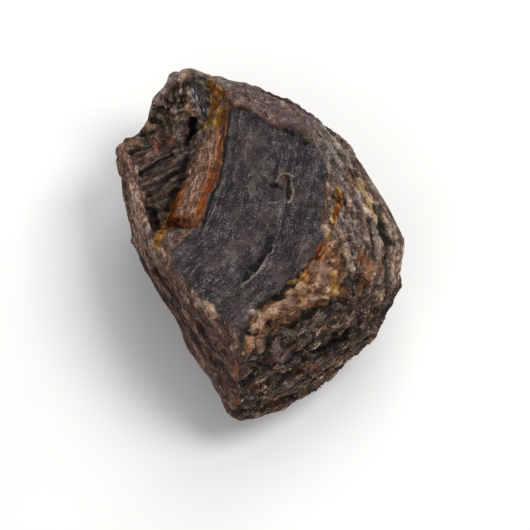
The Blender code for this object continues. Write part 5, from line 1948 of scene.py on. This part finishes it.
@dataclass(frozen=True)
class Vein(Region):
    """The sandy vein that stands between the slate face and the notch."""

    look: Look = Look.VEIN
    outline: Outline = Outline((
        (-9.9, 22.8), (-10.9, 20), (-12.3, 16.5), (-13.3, 13.3), (-14.4, 11.4), (-15.5, 9),
        (-16.4, 7), (-15.5, 6.4), (-13.2, 6.6), (-11.2, 7), (-10.3, 9), (-9.3, 11.8),
        (-8.3, 14.9), (-7.7, 18.4), (-7.2, 22.4), (-7.3, 24.1), (-8.9, 23.7)))
    edge: Pair = (-0.25, 0.4)
    line: Strand = Strand((
        (-8, 28), (-8.4, 23.6), (-9.6, 18.6), (-11.2, 14), (-13, 9.6), (-14.6, 5.6)))
    seed: float = 390.0
    fibres: Relief = Relief(Pattern.SWELL, 0.2, 0.8, 1.0, 3, 81.0, (0.6, 4.0, math.inf))
    grit: Relief = Relief(Pattern.SWELL, 0.15, 0.9, 0.9, 3, 84.0)
    # The dark strokes paint the shadow in the gaps along the vein's edges.
    strokes: tuple[Stroke, ...] = draw(
        (0.33, -0.35, Look.DARK, 0.95, (-6, 25.3), (-6.8, 20.8), (-7.2, 16.7),
         (-7.8, 13.8), (-8.5, 12.3), (-9.2, 10.8), (-10.1, 8.3), (-10.6, 6)),
        (0.5, 0, Look.STAIN, 0.6, (-13, 16.5), (-13.5, 15)),
        (1, 0.25, (-11.5, 15), (-12.2, 10)),
        (0.5, 0.2, (-15.8, 7.7), (-13.7, 7.3), (-11.3, 7.5)),
        (0.33, -0.35, Look.DARK, 0.5, (-16.2, 6.5), (-13.8, 6.3), (-11.5, 6.7)),
        (0.5, 0, Look.STAIN, 0.6, (-17.2, 6.3), (-16.5, 6.8)),
    )


@dataclass(frozen=True)
class Back:
    """All that faces away: layered, cracked crust underneath and round the back."""

    across_layers: Triple = (0.28, -0.36, 0.89)
    along_layers: Triple = (0.79, 0.61, 0.0)
    fade: Pair = (-0.3, 0.1)
    clear_of_flat: Pair = (0.25, 1.8)
    seed: float = 440.0
    layer_pitch: float = 1.9
    layer_height: float = 0.5
    layer_tint: float = 0.5
    layer_wave: float = 1.1
    reliefs: tuple[Relief, ...] = (
        Relief(Pattern.SWELL, 0.75, 0.0, 6.5, 2, 91.0),
        Relief(Pattern.CRAG, 0.42, 0.45, 4.2, 1, 14.0, (1.0, 1.0 / 0.45, 1.0 / 0.6)),
        Relief(Pattern.CRAG, 0.1, 0.4, 1.5, 1, 15.0, (1.0, 1.0 / 0.45, 1.0 / 0.6)),
        Relief(Pattern.SWELL, 0.25, 0.5, 1.6, 3, 92.0),
        Relief(Pattern.CREVICE, 0.5, 0.9, 3.8, 3, 16.0, (1.0, 1.0 / 0.45, 1.0 / 0.6)),
    )
    patches: tuple[Blotches, ...] = (
        Blotches(Look.GREY, 7, 0.45, 95),
        Blotches(Look.RIM, 5, 0.5, 96),
        Blotches(Look.RUST, 4.5, 0.45, 97, (0.2, 0.6)),
        Blotches(Look.STAIN, 6, 0.35, 98),
        Blotches(Look.DARK, 3.6, 0.35, 99, (0.2, 0.6)),
    )

    def shape(self, surface: FineSurface) -> None:
        """Roughens the crust, apart from the flat that the lump rests on, painting light on
        its crests and shade in its hollows.

        Args:
            surface: the lump's surface.
        """
        hidden = 1.0 - ramp(surface.facing, *self.fade)
        free = hidden * ramp(surface.points[:, 2], *self.clear_of_flat)
        deep = np.cross(self.across_layers, self.along_layers)
        axes = np.array((self.across_layers, self.along_layers, deep))
        run = surface.points @ axes.T
        surface.run_along(hidden, run, self.seed)
        surface.emboss(hidden, run, self.reliefs, raised=free)
        wavy = run[:, 0] + self.layer_wave * swell(surface.points, 5.0, 3, 93.0)
        layered = ramp(swell(surface.points, 9.0, 2, 94.0), -0.25, 0.2)
        step = layered * steps(wavy, self.layer_pitch)
        # Painted light on each layer's raised edge and painted shade at its foot.
        surface.raise_by(self.layer_height * free * step, self.layer_tint * hidden * step)
        surface.scatter(hidden, self.patches)


# ------------------------------------------------------------------ clear parts
@dataclass(frozen=True)
class ClearPart:
    """A piece of clear resin let into the skin, over a bright bed."""

    name: str
    outline: Outline
    material: ResinMaterial
    thickness: float
    seed: float
    bed: Look = Look.ORANGE_BED
    tints: tuple[Stroke, ...] = ()
    overlap: float = 0.09
    sink: float = 0.3
    lift: float = 0.03
    wave: float = 0.04
    evenness: float = 0.75
    kept_relief: float = 0.2
    thinnest: float = 0.04
    faces_from: float = -0.05

    def inside(self, surface: FineSurface) -> Array:
        """How far inside this piece each point is, and below 0 outside it."""
        seen = surface.facing > self.faces_from
        return np.where(seen, self.outline.depth(surface.ragged), -1.0)

    def carve(self, surface: FineSurface) -> None:
        """Sinks the bed that the resin lies in.

        Args:
            surface: the lump's surface.
        """
        inside = self.inside(surface)
        surface.rise *= 1.0 - self.evenness * ramp(inside, -0.1, 0.5)
        surface.carve = np.maximum(surface.carve, self.thickness * ramp(inside, 0.0, 0.9))
        surface.mark(self.bed, ramp(inside, -0.25, 0.35))
        surface.lay(self.tints)

    def build(self, surface: FineSurface) -> bpy.types.Object:
        """Makes the closed body of resin.

        Args:
            surface: the finished surface of the lump.

        Returns:
            The object.
        """
        inside = self.inside(surface)
        kept = surface.faces[(inside[surface.faces] > -0.15).all(axis=1)]
        used, flat = np.unique(kept, return_inverse=True)
        faces = flat.reshape(-1, 3)
        points, normals, rise = (
            values[used] for values in (surface.points, surface.normals, surface.rise))
        waves = swell(points, 1.7, 2, 100.0 + self.seed)
        close = ramp(inside[used], 0.0, 0.45)
        top = (rise * (1.0 - close * (1.0 - self.kept_relief)) - self.overlap
               + close * (self.overlap + self.lift + self.wave * waves))
        bottom = np.minimum(rise - surface.carve[used] - self.sink, top - self.thinnest)
        placed = np.vstack((points + normals * top[:, None],
                            points + normals * bottom[:, None]))
        count = len(used)
        edges = np.vstack((faces[:, [0, 1]], faces[:, [1, 2]], faces[:, [2, 0]]))
        known = {tuple(edge) for edge in edges.tolist()}
        border = [edge for edge in known if (edge[1], edge[0]) not in known]
        sides = [(b, a, a + count, b + count) for a, b in sorted(border)]
        shell = faces.tolist() + (faces[:, ::-1] + count).tolist() + sides
        obj = smooth_object(self.name, placed, shell)
        obj.data.materials.append(self.material.make())
        return obj


HONEY = ResinMaterial("honey_resin", (255, 212, 124), 420.0, 0.26)
YELLOW = ResinMaterial("yellow_resin", (255, 226, 120), 480.0, 0.14)
CLEAR_PARTS = (
    ClearPart("amber_edge", Outline((
        (-7.7, 23.7), (-6.5, 23.7), (-6.7, 21.7), (-7.2, 19.2), (-7.5, 16.7), (-8, 14.5),
        (-8.8, 12.5), (-9.5, 10.8), (-10.2, 9.2), (-10.5, 7.7), (-11, 6.8), (-12, 7),
        (-12, 8.2), (-11.7, 9.5), (-11, 11), (-10.7, 12.5), (-9.8, 14), (-9.2, 15.7),
        (-8.7, 17.5), (-8.2, 19.3), (-7.8, 21.5))),
        HONEY, 0.8, seed=1, tints=draw(
            (1, 0, Look.MAROON_BED, 1, 0.8, (-7, 23.8), (-7.2, 22.5), (-7.3, 21.2)),
            (1.17, 0, Look.EMBER_BED, 0.95, 0.9, (-7.5, 20.8), (-7.8, 17.8), (-8.5, 14.5)),
            (0.5, 0, Look.ORANGE_BED, 0.7, 1, (-7.7, 20.2), (-8, 17.5)),
            (1, 0, Look.YELLOW_BED, 0.75, 1, (-11, 9.5), (-11.3, 7.3)),
        )),
    ClearPart("amber_blob", Outline((
        (-9.3, 31.7), (-8.2, 31.3), (-8, 30.2), (-7.5, 29.5), (-6.8, 29), (-6.2, 28),
        (-6, 26.7), (-6.2, 25.2), (-6.5, 23.7), (-7.2, 23.3), (-7.7, 23), (-8.2, 22.5),
        (-8.8, 21.7), (-9.5, 22), (-9.7, 23), (-9.5, 24.2), (-9.3, 25.3), (-9.3, 26.7),
        (-9.3, 27.8), (-9.2, 29.2), (-9.5, 30.3))),
        YELLOW, 1, seed=2, bed=Look.YELLOW_BED, tints=draw(
            (0.75, 0, Look.ORANGE_BED, 1, 0.8, (-8.3, 29.5), (-7.7, 28.8), (-7, 28.3)),
            (1.33, 0, Look.EMBER_BED, 1, 0.8, (-6.8, 28.2), (-6.8, 26.3), (-7.2, 24.3)),
            # The dark look darkens the bed along the blob's right side, partly as painted
            # shade in the gap beside the slate.
            (0.67, 0, Look.DARK, 0.75, 1, (-6.3, 27.8), (-6.3, 25.5), (-6.7, 23.8)),
            (0.83, 0, Look.YELLOW_BED, 0.9, 1, (-8.3, 27.5), (-8.5, 25.8), (-8.5, 24.2)),
            (0.67, 0, Look.MAROON_BED, 0.9, 0.9, (-7.2, 23.5), (-7.3, 22.7)),
            (0.5, 0, Look.EMBER_BED, 0.9, 0.9, (-7.7, 28), (-7.3, 27.5)),
            (0.67, 0, Look.TAN, 0.6, 1, (-9, 23.2), (-8.5, 22.3)),
        )),
    ClearPart("amber_left_edge", Outline((
        (-13.5, 14.2), (-13.2, 13.7), (-13.7, 12.2), (-14, 10.8), (-14.7, 9.3), (-15, 8),
        (-15.5, 7.2), (-16.8, 7.2), (-16.5, 8.5), (-15.8, 9.8), (-15.2, 11.2),
        (-14.5, 12.5), (-14, 13.7))),
        HONEY, 0.6, seed=3, tints=draw(
            (1, 0, Look.YELLOW_BED, 0.7, 1, (-15.5, 9.2), (-16.2, 7.5)),
            (0.67, 0, Look.EMBER_BED, 0.7, 1, (-13.7, 13.8), (-14, 12.5)),
        )),
    ClearPart("amber_low_rim", Outline((
        (-16.7, 7.7), (-15.5, 8), (-14.2, 8.2), (-12.5, 8), (-11.3, 7.7), (-11, 6.8),
        (-12.2, 6.5), (-13.7, 6.7), (-15, 6.3), (-16.5, 6.3))),
        HONEY, 0.4, seed=4, tints=draw(
            (0.83, 0, Look.EMBER_BED, 0.85, 1, (-16.3, 7), (-13.8, 7.3), (-12.5, 7.3)),
        )),
    ClearPart("amber_spot", Outline((
        (-17, 6.5), (-16.5, 6), (-16.7, 4.8), (-17, 3.7), (-17.7, 2.8), (-18.8, 2.7),
        (-19.5, 3.3), (-19.2, 4.3), (-18.3, 4.8), (-17.8, 5.7))),
        HONEY, 0.6, seed=5, bed=Look.YELLOW_BED, tints=draw(
            (0.67, 0, Look.ORANGE_BED, 0.7, 1, (-17.2, 6.2), (-17.3, 4.8)),
        )),
    ClearPart("amber_streak_high", Outline((
        (11.5, 13.2), (12, 13.3), (12.5, 12.7), (12.3, 11.8), (12.7, 10.8), (12.2, 10.3),
        (11.8, 11.5))),
        YELLOW, 0.5, seed=6, bed=Look.YELLOW_BED, tints=draw(
            (0.67, 0, Look.ORANGE_BED, 0.8, 1, (12, 11.5), (12.3, 10.5)),
        )),
    ClearPart("amber_streak_low", Outline((
        (11.8, 10.2), (12.5, 9.8), (12.2, 8.5), (12, 7.2), (11.7, 6), (11, 4.3),
        (10.5, 4.8), (10.8, 6), (11.2, 7.2), (11.5, 8.7))),
        YELLOW, 0.6, seed=7, bed=Look.YELLOW_BED, tints=draw(
            (0.67, 0, Look.ORANGE_BED, 0.95, 1, (12.2, 9.7), (11.8, 8)),
        )),
    ClearPart("amber_crease", Outline((
        (9, 3.2), (9.8, 3.7), (10.3, 3), (10.2, 1.8), (9.5, 0.8), (8.7, 0.2), (8.2, 0.5),
        (8.7, 1.7))),
        HONEY, 0.5, seed=8, tints=draw(
            (0.67, 0, Look.EMBER_BED, 0.8, 1, (9.2, 1.5), (8.5, 0.5)),
            (0.5, 0, Look.YELLOW_BED, 0.7, 1, (9.7, 3.2), (9.8, 2.2)),
        )),
    ClearPart("amber_ledge", Outline((
        (5.5, -2.7), (6.2, -1.7), (7, -0.7), (7.7, -0.7), (7.3, -1.8), (6.5, -3),
        (5.8, -3.2))),
        HONEY, 0.4, seed=10, bed=Look.YELLOW_BED, tints=draw(
            (0.58, 0, Look.ORANGE_BED, 0.8, 1, (7.2, -1), (6.7, -2)),
        )),
    ClearPart("amber_thread", Outline((
        (11.3, -1.2), (11.8, -1.2), (12.2, -2.8), (12, -4.5), (11.3, -4.8), (11, -3))),
        YELLOW, 0.4, seed=9, bed=Look.YELLOW_BED),
)


# ------------------------------------------------------------ floor and lights
@dataclass(frozen=True)
class SoftLight:
    """One square panel of soft light: where it hangs, its width and its power."""

    name: str
    place_m: Triple
    size_m: float
    watts: float

    def hang(self, aim_m: Triple) -> None:
        """Hangs the panel, turned to the place that it aims at.

        Args:
            aim_m: that place, in metres.
        """
        data = bpy.data.lights.new(self.name, "AREA")
        data.size = self.size_m
        data.energy = self.watts
        lamp = link(bpy.data.objects.new(self.name, data))
        lamp.location = self.place_m
        aim = Vector(aim_m) - Vector(self.place_m)
        lamp.rotation_euler = aim.to_track_quat("-Z", "Y").to_euler()


@dataclass(frozen=True)
class Studio:
    """A pale floor, soft lights and the camera."""

    floor_width_m: float = 3.0
    world_strength: float = 0.42
    aim_m: Triple = (0.0, 0.0, 0.012)
    panels: tuple[SoftLight, ...] = (
        SoftLight("key", (0.45, 0.05, 0.75), 0.40, 4.2),
        SoftLight("top", (0.10, 0.55, 0.60), 0.45, 2.0),
        SoftLight("front", (-0.35, -0.60, 0.60), 0.60, 1.0),
    )
    camera_distance_m: float = 0.5
    nearest_m: float = 0.01
    sensor: float = 36.0
    view_width: float = 530.0 / 6.0
    sheet_plan: DrawingSheet = field(default_factory=DrawingSheet)

    def floor(self) -> None:
        """Lays the floor under the lump."""
        half = self.floor_width_m / 2.0
        corners = [(x, y, 0.0) for x, y in (
            (-half, -half), (half, -half), (half, half), (-half, half))]
        mesh = bpy.data.meshes.new("floor")
        mesh.from_pydata(corners, [], [(0, 1, 2, 3)])
        floor = link(bpy.data.objects.new("floor", mesh))
        mesh.materials.append(FloorMaterial().make())

    def lights(self) -> None:
        """Sets the sky's glow and the soft panels."""
        world = bpy.data.worlds.new("soft_sky")
        world.use_nodes = True
        glow = world.node_tree.nodes["Background"]
        glow.inputs["Color"].default_value = (1.0, 1.0, 1.0, 1.0)
        glow.inputs["Strength"].default_value = self.world_strength
        bpy.context.scene.world = world
        for panel in self.panels:
            panel.hang(self.aim_m)

    def camera(self) -> None:
        """Stands the camera square to the drawing sheet."""
        data = bpy.data.cameras.new("camera")
        data.sensor_width = self.sensor
        data.lens = self.sensor * self.camera_distance_m / (self.view_width * MM)
        data.clip_start = self.nearest_m
        camera = link(bpy.data.objects.new("camera", data))
        back = Vector(self.sheet_plan.toward())
        target = Vector(self.sheet_plan.centre) * MM
        camera.location = target + back * self.camera_distance_m
        camera.rotation_euler = (-back).to_track_quat("-Z", "Y").to_euler()
        bpy.context.scene.camera = camera

    def set_up(self) -> None:
        """Builds the whole studio."""
        self.floor()
        self.lights()
        self.camera()
        bpy.context.scene.view_settings.view_transform = "Standard"


def report(obj: bpy.types.Object) -> None:
    """Logs one finished piece."""
    log.info("%s: %d points, %d faces", obj.name, len(obj.data.vertices),
             len(obj.data.polygons))


def main() -> None:
    """Builds the lump, its clear parts and the studio, and logs the points and faces of each
    piece.
    """
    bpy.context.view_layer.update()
    surface = FineSurface()
    surface.refine()
    log.info("fine surface: %d points", len(surface.points))
    for part in (Back(), Shoulder(), Bevel(), RoughFront(), Flank(), Head(), Notch(),
                 GoldLedge(), SlateFace(), Vein()):
        part.shape(surface)
        log.info("shaped %s", type(part).__name__)
    for clear in CLEAR_PARTS:
        clear.carve(surface)
    lump = surface.build("amber_lump")
    lump.data.materials.append(SkinMaterial().make())
    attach(lump, BODY)
    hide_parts(NODE)
    report(lump)
    for clear in CLEAR_PARTS:
        piece = clear.build(surface)
        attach(piece, BODY)
        report(piece)
    Studio().set_up()


if __name__ == "__main__":
    main()
